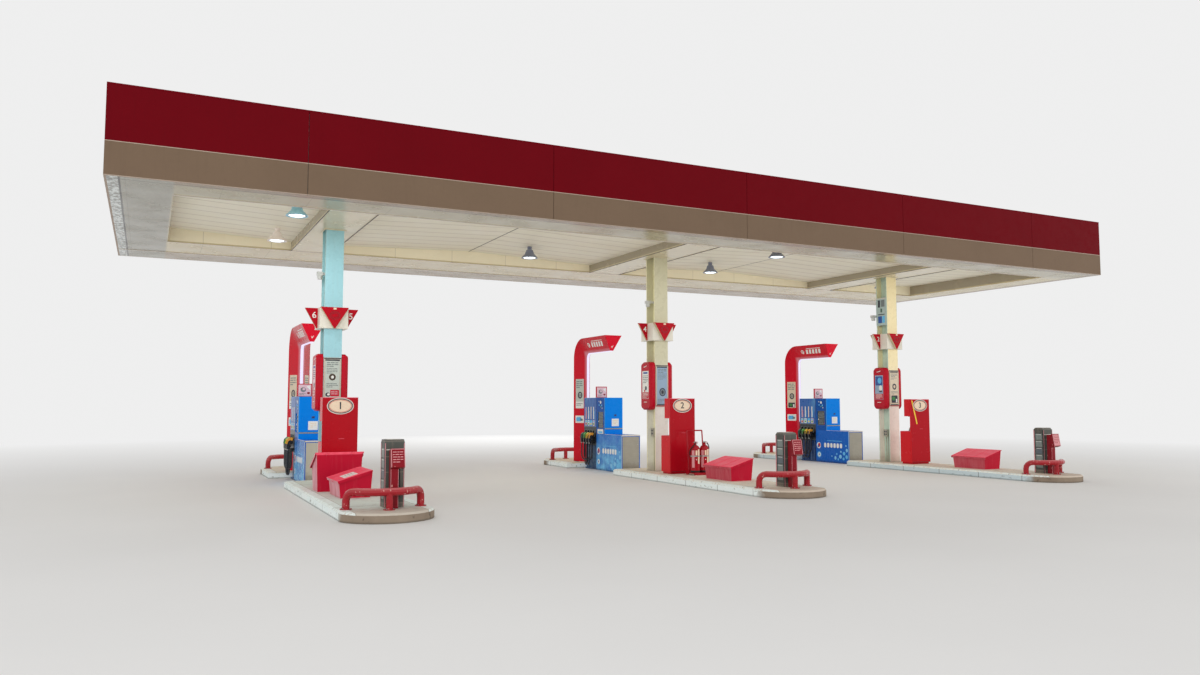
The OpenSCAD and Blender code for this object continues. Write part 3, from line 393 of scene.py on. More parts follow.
def sand_zones(s, base):
    """Sand box: faded and pinker on what faces up, washed and streaked on its left side."""
    fade = s.mix(s.noise(0.10, 5, (1, 4, 1)), "f0425c", "ff6c82")
    left = s.times(s.ramp(s.facing[X], -0.8, -0.6, 1.0, 0.0), s.ramp(s.place[X], *LEFT_ISLAND, 1.0, 0.25),
                   s.ramp(s.noise(0.06, 5, (1, 1, 6)), 0.35, 0.65, 0.45, 0.95))
    return s.layers(base, (s.ramp(s.facing[Z], 0.5, 0.8), fade), (s.ramp(s.place[Z], 0.680, 0.690), fade),
                    (left, "ecb4be"))


def arch_zones(s, base):
    """Pump arch: pale pink light from the strip on the inner edges of its slanted sides."""
    glow = s.times(s.ramp(s.place[Y], 3.20, 3.26, 0.6, 0.0), s.ramp(s.place[Z], 0.5, 1.6),
                   s.ramp(s.place[Z], 2.66, 2.72, 1.0, 0.0))
    return s.mix(glow, base, "e2a8b6")


def edge_lines(s, base):
    """Fascia: pale angle along its foot and along the joint of the two rows; grey primer on its back."""
    at_end = s.ramp(s.math("ABSOLUTE", s.place[X]), 9.5, 9.6)
    out_x = s.times(at_end, s.facing[X], s.place[X])
    out_y = s.times(s.facing[Y], s.math("SUBTRACT", s.place[Y], (Y0 + Y1) / 2000))
    back = s.ramp(s.math("ADD", out_x, out_y), -1.0, -0.5, 1.0, 0.0)
    foot = s.ramp(s.place[Z], SOFFIT / 1000 + 0.007, SOFFIT / 1000 + 0.009, 1.0, 0.0)
    split = s.band(s.place[Z], SPLIT / 1000 - 0.006, SPLIT / 1000 + 0.004, 0.001)
    return s.layers(base, (back, s.mix(s.noise(0.5, 4), "8c8a84", "acaaa2")),
                    (s.math("MAXIMUM", foot, split), "b09e8e"))


def unit_zones(s, base):
    """Service unit: rows of dark panels with pale joints."""
    return s.mix(s.lines(s.math("ADD", s.place[Z], 0.02), 0.2, 0.003, 0.007, 0.7), base, "8c8074")


def make_sheets():
    sheet("soffit", "d6c8a0", boards, near="b2aa8e")
    sheet("margin", "a49278", boards, near="96846c")
    sheet("casing", "ded4b4", rims)
    sheet("deck", "fef8e4", ribs, 0.45, shine=0.15)


def make_paints():
    # upper and lower: tones of each column's near face above and below the posters, painted lamp light
    for name, c, grime, dirt, upper, lower in (
            ("column_l", "ced6c8", 0.10, "968a74", "a0d6e0", "a4d2de"),
            ("column", "fff6ce", 0.08, "b0a088", "cecaac", "ecece4"),
            ("column_r", "cee4d4", 0.08, "b0a088", "ffeebc", "ffeee2")):
        painted(name, c, 0.28, dirt, (0.13, 0.40), grime, zones=column_near_face_light(upper, lower), mottle=0.03)
    for name, c in (("paper", "c4cec4"), ("paper_warm", "e0d0b6"),
                    ("paper_blue", "96b0c8")):
        painted(name, c, 0.30, grime=0.05, mottle=0.03)
    # name, colour, roughness, dust colour and grime of paint without zones
    for name, c, rough, dirt, grime in (
            ("worn_pink", "de989c", 0.5, "aa3c42", 0.15),
            ("grit_rim", "ec7486", 0.5, "f0aab0", 0.08),
            ("panel", "808a86", 0.35, "505450", 0.15),
            ("panel_dark", "606a70", 0.35, "3c403e", 0.15)):
        painted(name, c, rough, dirt, grime=grime)
    painted("paper_pink", "e8c4cc", 0.30, grime=0.03, mottle=0.05)
    painted("white", "e8e4d6", grime=0.08)
    painted("poster_edge", "cec6b2", grime=0.08)
    painted("lamp", "808698", 0.3, zones=lamp_zones, grime=0.05)
    painted("box_grey", "aca898", 0.4)
    painted("plate", "b0c4c0", 0.3)
    painted("fascia_red", "680511", 0.45, "460a0e", grime=0.08, zones=edge_lines, shine=0.06)
    painted("fascia_grey", "766250", 0.42, "5c4c40", grime=0.14, zones=edge_lines, shine=0.12)
    painted("red", "be1028", 0.26, "6e0c16", grime=0.05, mottle=0.05, shine=0.18)
    # the triangles' beige undersides are painted shade
    painted("triangle", "b8061e", 0.26, "6e0c16", grime=0.05, zones=triangle_underside_shade,
            mottle=0.05, shine=0.15)
    # the cabinet's brighter sides, the faces that look along X, are painted light
    painted("cabinet", "b40e1e", 0.24, "560c12", (0.13, 0.22), 0.05,
            zones=sides_of("d81e28"), mottle=0.04, shine=0.15)
    # the hoop's paler top is a painted highlight
    painted("hoop", "a6222c", 0.26, "782828", (0.13, 0.19), 0.10, 0.5, "ce968e",
            top_light("d68080"), 0.05, 0.3)
    painted("post", "88101e", 0.32, "6e1e22", (0.13, 0.2), 0.08, 0.35, "d2968c",
            shine=0.2)
    painted("unit", "4e504a", 0.45, "9c8a78", (0.13, 0.25), 0.35, zones=unit_zones)
    painted("grit", "be1432", 0.45, "dc7882", (0.13, 0.19), 0.12, zones=sand_zones,
            mottle=0.08, shine=0.15)
    painted("grit_lid", "fa506a", 0.45, "f0aab0", grime=0.06, shine=0.15)
    painted("ext", "a81020", 0.20, grime=0.02, mottle=0.02, shine=0.3)
    painted("pump", "0a62c4", 0.26, "3c506e", (0.02, 0.12), 0.05, zones=low_zones,
            mottle=0.04, shine=0.18)
    painted("bright", "0084ec", 0.28, "145aaa", grime=0.03, zones=sides_of("0852a8"),
            mottle=0.03, shine=0.12)
    painted("module", "12161c", 0.30, grime=0.05, zones=module_zones, mottle=0.04)
    painted("arch", "d60a26", 0.24, "780c1a", grime=0.03, zones=arch_zones, mottle=0.05, shine=0.2)
    painted("arch_end", "e0102e", 0.26, grime=0.02, mottle=0.03, shine=0.2)


def make_plain():
    for name, c, rough in (
            ("ring_red", "8c0a1a", 0.3), ("ink", "2c303c", 0.45), ("ink_grey", "768080", 0.45),
            ("ink_blue", "2854a0", 0.4), ("ink_sky", "60bef0", 0.35),
            ("bubble", "86ccf2", 0.35), ("ink_red", "c41430", 0.4),
            ("ink_green", "3c8246", 0.4), ("yellow", "f6ce3c", 0.35),
            ("orange", "f0a83c", 0.35), ("lime", "60b054", 0.35), ("lime_dark", "3a604e", 0.35),
            ("roll", "8a8c8c", 0.45), ("dark", "1e2026", 0.35), ("nozzle", "222326", 0.35),
            ("hose", "282a30", 0.18), ("rubber", "181819", 0.6), ("trim_dark", "463426", 0.4),
            ("camera", "ced0cc", 0.35)):
        plain(name, c, rough)
    plain("print_white", "f0f0ea", 0.35, speck=0.04)
    plain("cream", "f0dabe", 0.35, speck=0.05)
    plain("glass", "10141a", 0.08, speck=0.3, size=0.05, Coat_Weight=0.6)
    plain("steel", "969898", 0.45, 0.6, 0.25, 0.05)
    plain("trim", "ded6cc", 0.3, 0.3, 0.06, 0.08)
    plain("edge", "b09e8e", 0.35, 0.0, 0.08, 0.08)
    plain("alu", "b2b2ae", 0.3, 0.7, 0.10, 0.05)
    plain("lens", (0.75, 0.85, 0.95), 0.2, Emission_Color=(0.80, 0.92, 1.0, 1), Emission_Strength=2.2)
    plain("glow", (0.25, 0.25, 0.30), 0.4, Emission_Color=(0.80, 0.75, 1.0, 1), Emission_Strength=0.85)


make_sheets()
make_paints()
make_plain()
concrete()
stainless()

FINISHES = {
    "column_l": "column_left", "column": "column_mid", "column_r": "column_right",
    "steel": "girders edge_beams purlins fascia_posts", "ext": "extinguishers extinguisher_trolley",
    "fascia_red": "fascia_red_near fascia_red_far fascia_red_ends fascia_capping",
    "fascia_grey": "fascia_grey_near fascia_grey_far fascia_grey_ends",
    "soffit": "soffit_near soffit_far soffit_ends", "casing": "cross_casings", "margin": "soffit_margins",
    "deck": "roof_deck", "lamp": "lamps", "white": "sign_boxes", "triangle": "sign_triangles",
    "red": "poster_pods pump_toppers", "poster_edge": "poster_panels", "cabinet": "cabinets",
    "roll": "cabinet_rolls", "concrete": "island_left island_mid island_right",
    "hoop": "hoops_near hoops_far", "post": "service_boxes", "unit": "service_units",
    "grit": "sand_boxes sand_lid_a sand_lid_b sand_lid_c sand_lid_d",
    "pump": "pump_left pump_mid pump_right", "bright": "pump_heads", "module": "hose_modules",
    "nozzle": "nozzles", "arch": "arch_left arch_mid arch_right", "glow": "arch_lights",
    "camera": "cameras", "box_grey": "junction_boxes", "plate": "column_plates",
}
for finish, names in FINISHES.items():
    for name in names.split():
        NODE[name].data.materials.clear()
        NODE[name].data.materials.append(MATERIALS[finish])


# Hoses

# [distance along the span, height] of the two hanging loops, as in the source, in mm
LOW_LOOP = ((0, 600), (0, 540), (0, 480), (0, 420), (0, 355), (0, 290), (0, 225), (17, 162),
            (62, 117), (125, 100), (188, 117), (233, 162), (250, 225), (250, 290), (250, 355),
            (250, 420), (250, 490), (250, 555))
HIGH_LOOP = ((0, 600), (0, 530), (0, 460), (0, 390), (0, 320), (16, 260), (60, 216), (120, 200),
             (180, 216), (224, 260), (240, 320), (240, 380), (240, 440), (240, 500), (240, 555))
# loop, its way along the pump and its length in metres, for the four nozzles of a side
LOOPS = ((LOW_LOOP, 1, 1.112), (LOW_LOOP, 1, 1.112), (HIGH_LOOP, -1, 0.898), (HIGH_LOOP, -1, 0.898))
HOSE_D, HOSE_OUT, OUTLET_OUT = 28, 110, 32


def nozzle_y(k):
    return HOSE_Y + 135 + k * 130


def hose_route(x, side, k):
    """Points, in metres, from the outlet under the module down, round and up to the nozzle."""
    loop, way, _ = LOOPS[k]
    reach = loop[-1][0]
    pts = []
    for u, z in reversed(loop):
        out = HOSE_OUT - (HOSE_OUT - OUTLET_OUT) * u / reach
        pts.append(metres((x + side * (PUMP_W / 2 + out), nozzle_y(k) + way * u, z)))
    return pts


def make_hose(name, node, x, side, k):
    data = bpy.data.curves.new(name, "CURVE")
    data.dimensions = "3D"
    data.bevel_depth = HOSE_D / 2000
    data.bevel_resolution = 3
    data.resolution_u = 3
    pts = hose_route(x, side, k)
    spline = data.splines.new("BEZIER")
    spline.bezier_points.add(len(pts) - 1)
    for b, p in zip(spline.bezier_points, pts):
        b.co = p
        b.handle_left_type = b.handle_right_type = "AUTO"
    hose = bpy.data.objects.new(name, data)
    bpy.context.scene.collection.objects.link(hose)
    data.materials.append(MATERIALS["hose"])
    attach(hose, "canopy")
    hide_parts(node)


for x, side_name in zip(COLUMNS, SIDES):
    for side in (-1, 1):
        for k in range(4):
            make_hose(f"hose_{side_name}_{'w' if side < 0 else 'e'}{k}", f"hoses_{side_name}", x, side, k)


# Small solids

# prints start this far inside the face that they lie on; numerals are bolder by this share of their size
SUNK = -0.5
BOLD = 0.012


def span(middle, half):
    return middle - half, middle + half


def circle(n):
    """Cosine and sine of n even steps round."""
    return [(math.cos(2 * math.pi * k / n), math.sin(2 * math.pi * k / n)) for k in range(n)]


def arc(cu, cv, r, start, end, steps):
    """Points round cu, cv from one angle to another, in degrees."""
    turns = [math.radians(start + (end - start) * k / steps) for k in range(steps + 1)]
    return [(cu + r * math.cos(a), cv + r * math.sin(a)) for a in turns]


def on(origin, u, v):
    """Matrix from a face's own u, v and outward w to the world."""
    u, v = Vector(u), Vector(v)
    m = Matrix((u, v, u.cross(v))).transposed().to_4x4()
    m.translation = metres(origin)
    return m


def taken(bm):
    """Corners and faces of a bmesh, which is freed."""
    bm.verts.index_update()
    verts = [v.co.copy() for v in bm.verts]
    faces = [[v.index for v in f.verts] for f in bm.faces]
    bm.free()
    return verts, faces


class Kit:
    """Closed solids gathered into one piece of the object; each solid names its finish."""

    def __init__(self, name, slot, body="canopy"):
        self.name, self.slot, self.body = name, slot, body
        self.verts, self.faces, self.mats, self.smooth, self.used = [], [], [], [], []

    def add(self, verts, faces, finish, at, smooth=False):
        """Adds a solid whose corners are in metres."""
        base = len(self.verts)
        self.verts += [at @ Vector(v) for v in verts]
        if finish not in self.used:
            self.used.append(finish)
        for f in faces:
            self.faces.append([base + i for i in f])
            self.mats.append(self.used.index(finish))
            self.smooth.append(smooth)

    def face(self, origin, u, v, way=1):
        return Face(self, on(origin, u, v), way)

    def near(self, x, y, z):
        return self.face((x, y, z), (1, 0, 0), UP)

    def far(self, x, y, z):
        return self.face((x, y, z), (-1, 0, 0), UP)

    def side(self, s, x, y, z, way=1):
        """Face that looks along X, to the left where s is -1."""
        return self.face((x, y, z), (0, s, 0), UP, way)

    def flat(self, x, y, z):
        return self.face((x, y, z), (1, 0, 0), (0, 1, 0))

    def under(self, x, y, z):
        return self.face((x, y, z), (1, 0, 0), (0, -1, 0))

    def make(self):
        mesh = bpy.data.meshes.new(self.name)
        mesh.from_pydata(self.verts, [], self.faces)
        for f in self.used:
            mesh.materials.append(MATERIALS[f])
        mesh.polygons.foreach_set("material_index", self.mats)
        mesh.polygons.foreach_set("use_smooth", self.smooth)
        mesh.update()
        piece = bpy.data.objects.new(self.name, mesh)
        bpy.context.scene.collection.objects.link(piece)
        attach(piece, self.body)


class Face:
    """Place to build on: u along it, v up it, w out of it, all in mm. A way of -1 mirrors u."""

    def __init__(self, kit, at, way=1):
        self.kit, self.at, self.way = kit, at, way

    def add(self, verts, faces, finish, smooth=False):
        self.kit.add([metres(v) for v in verts], faces, finish, self.at, smooth)

    def box(self, u, v, w, finish, cut=2):
        """Box between pairs of u, v and w, with its edges taken off."""
        mid = [(lo + hi) / 2 for lo, hi in (u, v, w)]
        half = [(hi - lo) / 2 for lo, hi in (u, v, w)]
        c = min(cut, min(half) * 0.45)
        bm = bmesh.new()
        for signs in itertools.product((-1, 1), repeat=3):
            for k in range(3):
                inset = [h - (0 if i == k else c) for i, h in enumerate(half)]
                bm.verts.new(metres([m + s * d for m, s, d in zip(mid, signs, inset)]))
        bmesh.ops.convex_hull(bm, input=bm.verts)
        bmesh.ops.dissolve_limit(bm, angle_limit=0.01, verts=bm.verts, edges=bm.edges)
        self.kit.add(*taken(bm), finish, self.at)

    def prism(self, outline, w0, w1, finish):
        """Outline of [u, v], drawn either way round, from w0 to w1."""
        pts = [(self.way * u, v) for u, v in outline]
        n = len(pts)
        if sum(pts[i - 1][0] * pts[i][1] - pts[i][0] * pts[i - 1][1] for i in range(n)) < 0:
            pts.reverse()
        verts = [(u, v, w) for w in (w0, w1) for u, v in pts]
        faces = [list(range(n))[::-1], list(range(n, 2 * n))]
        faces += [[i, (i + 1) % n, (i + 1) % n + n, i + n] for i in range(n)]
        self.add(verts, faces, finish)

    def plate(self, u0, u1, v0, v1, finish, t=1.5, r=0):
        """Thin sheet with rounded corners."""
        if r:
            pts = (arc(u1 - r, v0 + r, r, -90, 0, 5) + arc(u1 - r, v1 - r, r, 0, 90, 5)
                   + arc(u0 + r, v1 - r, r, 90, 180, 5) + arc(u0 + r, v0 + r, r, 180, 270, 5))
        else:
            pts = [(u0, v0), (u1, v0), (u1, v1), (u0, v1)]
        self.prism(pts, SUNK, t, finish)

    def oval(self, cu, cv, ru, rv, finish, t=2.5, n=48):
        self.prism([(cu + ru * c, cv + rv * s) for c, s in circle(n)], SUNK, t, finish)

    def ring(self, cu, cv, ru, rv, width, finish, t=2.5, w0=SUNK, n=48):
        cu *= self.way
        verts, faces = [], []
        for c, s in circle(n):
            for w in (w0, t):
                verts.append((cu + ru * c, cv + rv * s, w))
                verts.append((cu + (ru - width) * c, cv + (rv - width) * s, w))
        for k in range(n):
            a, b = 4 * k, 4 * ((k + 1) % n)
            faces += [[a, b, b + 2, a + 2], [b + 1, a + 1, a + 3, b + 3],
                      [a + 2, b + 2, b + 3, a + 3], [a + 1, b + 1, b, a]]
        self.add(verts, faces, finish)

    def lathe(self, profile, finish, n=32):
        """Solid of turning [radius, height] points, which run from the axis to the axis, round w."""
        if profile[0][1] > profile[-1][1]:
            profile = profile[::-1]
        inner = profile[1:-1]
        m = len(inner)
        verts = [(r * c, r * s, w) for c, s in circle(n) for r, w in inner]
        first, last = len(verts), len(verts) + 1
        verts += [(0, 0, profile[0][1]), (0, 0, profile[-1][1])]
        faces = []
        for k in range(n):
            a, b = k * m, ((k + 1) % n) * m
            faces.append([first, b, a])
            faces += [[a + i, b + i, b + i + 1, a + i + 1] for i in range(m - 1)]
            faces.append([a + m - 1, b + m - 1, last])
        self.add(verts, faces, finish, smooth=True)

    def tube(self, points, r, finish, n=10):
        """Round bar through points, closed at both ends."""
        pts = [self.at @ metres(p) for p in points]
        verts, faces = [], []
        side = None
        for i, p in enumerate(pts):
            t = (pts[min(i + 1, len(pts) - 1)] - pts[max(i - 1, 0)]).normalized()
            if side is None:
                side = t.orthogonal().normalized()
            side = (side - t * side.dot(t)).normalized()
            up = t.cross(side)
            verts += [p + r / 1000 * (c * side + s * up) for c, s in circle(n)]
        for i in range(len(pts) - 1):
            for k in range(n):
                a, b = i * n + k, i * n + (k + 1) % n
                faces.append([a, b, b + n, a + n])
        faces.append(list(range(n))[::-1])
        faces.append([(len(pts) - 1) * n + k for k in range(n)])
        self.kit.add(verts, faces, finish, Matrix(), smooth=True)

    def number(self, text, u, v, size, finish, w=0, t=1.2):
        """Plain numeral, centred on u, v."""
        data = bpy.data.curves.new("numeral", "FONT")
        data.body = text
        data.size = size / 1000
        data.align_x = data.align_y = "CENTER"
        data.offset = BOLD * data.size
        data.resolution_u = 4
        temp = bpy.data.objects.new("numeral", data)
        bpy.context.scene.collection.objects.link(temp)
        mesh = temp.evaluated_get(bpy.context.evaluated_depsgraph_get()).to_mesh()
        bm = bmesh.new()
        bm.from_mesh(mesh)
        bmesh.ops.remove_doubles(bm, verts=bm.verts, dist=data.size * 1e-4)
        made = bmesh.ops.extrude_face_region(bm, geom=bm.faces[:])
        moved = [g for g in made["geom"] if isinstance(g, bmesh.types.BMVert)]
        bmesh.ops.translate(bm, verts=moved, vec=(0, 0, t / 1000))
        bmesh.ops.recalc_face_normals(bm, faces=bm.faces)
        self.kit.add(*taken(bm), finish, self.at @ Matrix.Translation(metres((u, v, w))))
        bpy.data.objects.remove(temp)
        bpy.data.curves.remove(data)

    def rows(self, u0, u1, v, count, pitch, height, finish, seed, t):
        """Rows of short bars that stand in for lines of small print; the last row is cut short."""
        u0, u1 = sorted((self.way * u0, self.way * u1))
        for i in range(count):
            u = u0
            k = seed * 7 + i * 3
            while u < u1 - height:
                end = min(u + height * (2.0 + 3.0 * abs(math.sin(k * 1.7))), u1)
                self.plate(self.way * u, self.way * end, v - i * pitch - height, v - i * pitch, finish, t)
                u = end + height * 0.8
                k += 1
                if i == count - 1 and u > (u0 + u1) / 2:
                    break


# Fascia and soffit

def fascia_trims(kit):
    """Edge angles along the two long sides; on the ends, the box's limits, they are in the paint."""
    world = kit.flat(0, 0, 0)
    for z0, z1, out, finish in ((SOFFIT, SOFFIT + 8, 4, "edge"), (SPLIT - 6, SPLIT + 4, 3, "edge"),
                                (TOP - 22, TOP, 4, "fascia_red")):
        for y in ((Y0 - out, Y0), (Y1, Y1 + out)):
            world.box((X0, X1), y, (z0, z1), finish, 1.5)


def soffit_trims(kit):
    """Pale angles along the far band and the coffers; dark edges of the casings, a collar at each column."""
    soffit = kit.flat(0, 0, SOFFIT)
    soffit.box((X0 + 30, X1 - 30), (3605, 3635), (-10, 0.5), "trim")
    for y in (-1760, 2370):
        soffit.box((-9000, 9500), span(y, 12), (-6, 0.5), "trim")
    for x in COLUMNS:
        at = kit.flat(x, 0, SOFFIT)
        for s in (-1, 1):
            at.box(span(s * 375, 8), (-1750, 2360), (-7, 0.5), "trim_dark")
        for s in (-1, 1):
            at.box((-185, 185), span(s * 185, 12), (-12, 0.5), "casing")
            at.box(span(s * 170, 12), (-173, 173), (-12, 0.5), "casing")


def lamp_lenses(kit):
    for place in LAMPS:
        bell = kit.under(*place)
        bell.lathe([(0, 10), (50, 8), (95, 1), (122, -10), (128, -16), (122, -20), (0, -20)], "lens")
        bell.ring(0, 0, 139, 139, 13, "alu", -4, -16)
        for c, s in circle(3):
            bell.box(span(128 * c, 8), span(128 * s, 8), (-8, 3), "alu")


# Columns

def sign_details(kit):
    """Lane numbers on the triangles, a plain ring badge, a small light and the collar's white lip."""
    for x, left, right in zip(COLUMNS, "642", "531"):
        for u, text in ((-292, left), (318, right)):
            kit.near(x, -20, SIGN_Z).number(text, u, 232, 150, "print_white", -0.3)
            kit.far(x, 20, SIGN_Z).number(text, -u, 232, 150, "print_white", -0.3)
        for face in (kit.near(x, -305, SIGN_Z), kit.far(x, 305, SIGN_Z)):
            face.ring(0, 215, 88, 70, 11, "ring_red", 3)
            face.ring(0, 215, 60, 44, 8, "ring_red", 3)
            face.plate(-26, 26, 315, 345, "cream", 4, 6)
        for s in (-1, 1):
            kit.flat(x, 0, SIGN_Z).box((-240, 240), span(s * 235, 4), (0, 12), "white")


def poster_left(face):
    """Ring, small print and a red label with a mark over its foot."""
    face.rows(-95, 85, 655, 4, 26, 10, "ink_grey", 5, 4)
    face.ring(0, 505, 56, 56, 30, "trim_dark", 4.5)
    face.oval(10, 500, 24, 30, "print_white", 4.5)
    face.rows(-95, 95, 400, 3, 28, 12, "ink_grey", 8, 4)
    face.plate(-30, 116, 180, 290, "ink_red", 4.5, 10)
    face.rows(-15, 105, 262, 2, 34, 12, "paper_pink", 2, 5.5)
    face.oval(-66, 210, 42, 34, "ink", 5)
    face.oval(-58, 214, 24, 18, "print_white", 6)


def poster_mid(face):
    """A ringed disc low on the sheet, with small print over and under it."""
    face.rows(-100, 100, 660, 5, 26, 10, "ink_grey", 3, 4)
    face.ring(10, 290, 72, 82, 20, "ink", 4.5)
    face.oval(10, 290, 46, 56, "ink_grey", 4.5)
    face.oval(10, 290, 24, 36, "ink", 5.5)
    face.rows(-100, 100, 150, 3, 26, 11, "ink_grey", 9, 4)


def poster_right(face):
    """A ring, and a dark picture with a green and a white form at the foot."""
    face.rows(-100, 100, 660, 2, 26, 10, "ink_grey", 4, 4)
    face.ring(4, 455, 62, 70, 30, "ink", 4.5)
    face.rows(-100, 100, 345, 3, 28, 12, "ink_grey", 6, 4)
    face.plate(-95, 95, 80, 250, "ink", 4.5, 12)
    face.oval(-25, 180, 52, 46, "ink_green", 5.5)
    face.plate(40, 80, 90, 170, "print_white", 5.5, 6)


def pod_prints(kit, i, x):
    """Sheet in the sunk field of each pod, with generic pictures, and marks on the pod itself."""
    for s in (-1, 1):
        field = kit.side(s, x + s * (POD_OUT - 6), 25, 1565)
        field.plate(-128, 128, 2, 563, ("paper_pink", "print_white", "paper_blue")[i], 3, 6)
        if i == 2:
            field.plate(-110, 110, 330, 540, "ink_blue", 4, 20)
            field.oval(20, 440, 60, 70, "ink_sky", 5)
            field.oval(50, 270, 50, 62, "print_white", 5)
            field.oval(50, 190, 52, 18, "ink", 5)
        else:
            field.plate(-85, 85, 505, 540, "ink_blue", 4, 8)
            field.rows(-95, 95, 470, 5, 34, 14, "ink_grey", i + 3, 4)
            field.oval(20, 215, 34, 42, "ink", 5)
            field.oval(-30, 165, 22, 26, "ink_red", 5)
        field.plate(-120, 120, 8, 135, "ink_red", 4, 10)
        field.rows(-100, 100, 118, 4, 26, 10, "print_white", i + 2, 5)
        pod = kit.side(s, x + s * POD_OUT, 25, 1345)
        pod.prism([(-60, 855), (10, 862), (60, 880), (52, 892), (6, 876), (-62, 868)], SUNK, 1.5,
                  "print_white")
        pod.plate(-60, 60, 150, 162, "print_white", 1.2)


def poster_prints(kit):
    """A sheet in each poster panel, one design a column, the bars that hold it, and the pods' sheets."""
    designs = (("paper", poster_left), ("paper_blue", poster_mid), ("paper_warm", poster_right))
    for i, x in enumerate(COLUMNS):
        paper, design = designs[i]
        for face in (kit.near(x, -188, POSTER_Z), kit.far(x, 188, POSTER_Z)):
            face.plate(-119, 119, 32, 803, paper, 3)
            face.plate(-118, 118, 780, 802, "ink", 4)
            face.plate(-118, 118, 34, 52, "ink", 4)
            face.rows(-95, 95, 755, 3, 30, 14, "ink_grey", i + 1, 4)
            design(face)
        for face in (kit.near(x, -194, POSTER_Z), kit.far(x, 194, POSTER_Z)):
            face.plate(-139, 139, 812, 828, "ink", 5)
            face.plate(-139, 139, 4, 18, "ink_red", 5)
            face.plate(-139, 139, 18, 26, "ink", 5)
        pod_prints(kit, i, x)


def junction_box(kit, x, z):
    """Lid, four dark sockets, and two conduits with glands that run down to the island."""
    lid = kit.side(-1, x - 120, 0, z)
    lid.plate(-52, 52, 8, 152, "box_grey", 4, 8)
    for u in (-24, 24):
        for v in (50, 110):
            lid.plate(u - 16, u + 16, v - 18, v + 18, "ink", 6, 4)
    for y in (-30, 30):
        gland = kit.flat(x - 60, y, z)
        gland.tube([(0, 0, -30), (0, 0, 0), (0, 0, 5)], 11, "box_grey")
        gland.tube([(0, 0, KERB - z), (0, 0, -30)], 8, "box_grey")


def column_plate(face):
    """Screws, a pale top edge and blocks of print on a plate of the right column."""
    for u in (-140, 140):
        for v in (30, 325, 620):
            face.oval(u, v, 7, 7, "alu", 3, 12)
    face.plate(-155, 155, 628, 646, "trim", 2)
    for u0, u1, v0, v1, finish in ((-100, 20, 60, 220, "ink_blue"), (35, 110, 60, 220, "ink_sky"),
                                   (-100, 110, 250, 270, "ink"), (-20, 30, 310, 400, "lime_dark"),
                                   (-100, -30, 430, 600, "ink"), (0, 110, 440, 600, "ink_grey")):
        face.plate(u0, u1, v0, v1, finish, 2, 8)


def column_details(kit):
    for x in COLUMNS:
        # sealant bead and base flange on the island
        foot = kit.flat(x, 0, KERB)
        for s in (-1, 1):
            foot.box((-165, 165), span(s * 178, 8), (0, 10), "box_grey")
            foot.box(span(s * 158, 8), (-170, 170), (0, 10), "box_grey")
    junction_box(kit, COLUMNS[1], 820)
    junction_box(kit, COLUMNS[2], 710)
    # cameras: dark lens under each dome
    for place in ((-6670, 0, 3590), (-210, 0, 3430), (6060, 215, 3430)):
        dome = kit.under(*place)
        dome.lathe([(0, 0), (30, -2), (40, -10), (44, -24), (44, -30), (0, -30)], "glass", 24)
        dome.ring(0, 0, 47, 47, 6, "camera", -28, -40, 24)
    for s in (-1, 1):
        column_plate(kit.side(s, COLUMNS[2] + s * 166, 0, 3300))


# Waste cabinets

def cabinet_details(kit):
    half = CAB_W / 2
    for i, x in enumerate(COLUMNS):
        # oval badge: a cream field, three rings and a plain number
        panel = kit.near(x, CAB_Y, 0)
        panel.oval(0, 1430, 205, 128, "cream", 2, 64)
        for ru, rv, width, finish, t in ((212, 134, 14, "trim", 5), (198, 120, 14, "ink", 4),
                                         (176, 100, 6, "ink_red", 3.5)):
            panel.ring(0, 1430, ru, rv, width, finish, t, n=64)
        panel.number(str(i + 1), 0, 1430, 165, "ink", 2, 1.5)
        # folded edges, a pale top edge that is a painted highlight, and a small worn mark
        for u in (-half, half - 6):
            panel.plate(u, u + 6, 170, CAB_TOP - 2, "cabinet", 3)
        panel.plate(-half, half, CAB_TOP - 10, CAB_TOP, "grit_rim", 3)
        panel.plate(30 - half, half - 30, 172, 178, "dark", 1)
        panel.plate(-20, 70, 905, 910, "grit_rim", 1.2)
        # lock and hinges of the rear door
        back = kit.far(x, CAB_Y + CAB_DEEP, 0)
        back.oval(-190, 500, 14, 14, "alu", 8, 20)
        back.box(span(-190, 10), (490, 510), (2, 10), "dark")
        for v in (260, 660):
            back.box((222, 238), (v, v + 60), (0, 8), "alu")
        # opening under the hood, cap over the curved insert, and pale strips on the rim of the lower box, a
        # painted highlight
        hood = kit.flat(x, CAB_Y, 0)
        hood.box((-190, 190), (60, 170), (1178, 1187.5), "dark")
        hood.box((-200, 200), (36, 45), (849.8, 862), "alu")
        for s in (-1, 1):
            hood.box(span(s * 270, 8), (40, 325), (849, 856), "grit_rim")
        hood.box((-262, 262), (312, 326), (849, 856), "grit_rim")
    # bright slip on the right cabinet
    panel = kit.near(COLUMNS[2], CAB_Y, 0)
    panel.prism([(-262, 1545), (-225, 1535), (-85, 1020), (-118, 1010)], SUNK, 2, "yellow")
    panel.prism([(-226, 1500), (-200, 1440), (-165, 1310), (-190, 1370)], SUNK, 3, "lime")


# Islands and what stands on them

def hoop_bolts(kit):
    """Four bolts at each of the three feet of every crash hoop."""
    a = math.radians(HOOP_ARC)
    px = HOOP_R * math.sin(a) + HOOP_TAIL * math.cos(a)
    py = HOOP_R * math.cos(a) - HOOP_TAIL * math.sin(a)
    for x in COLUMNS:
        for cy, s in ((-3780, -1), (3930, 1)):
            for u, v in ((0, HOOP_R), (-px, py), (px, py)):
                for bu, bv in arc(x + u, cy + s * v, BOLTS_R, 45, 315, 3):
                    bolt = kit.flat(bu, bv, KERB + 12)
                    bolt.oval(0, 0, 8.5, 8.5, "steel", 3, 16)
                    bolt.oval(0, 0, 6.5, 6.5, "steel", 10, 6)


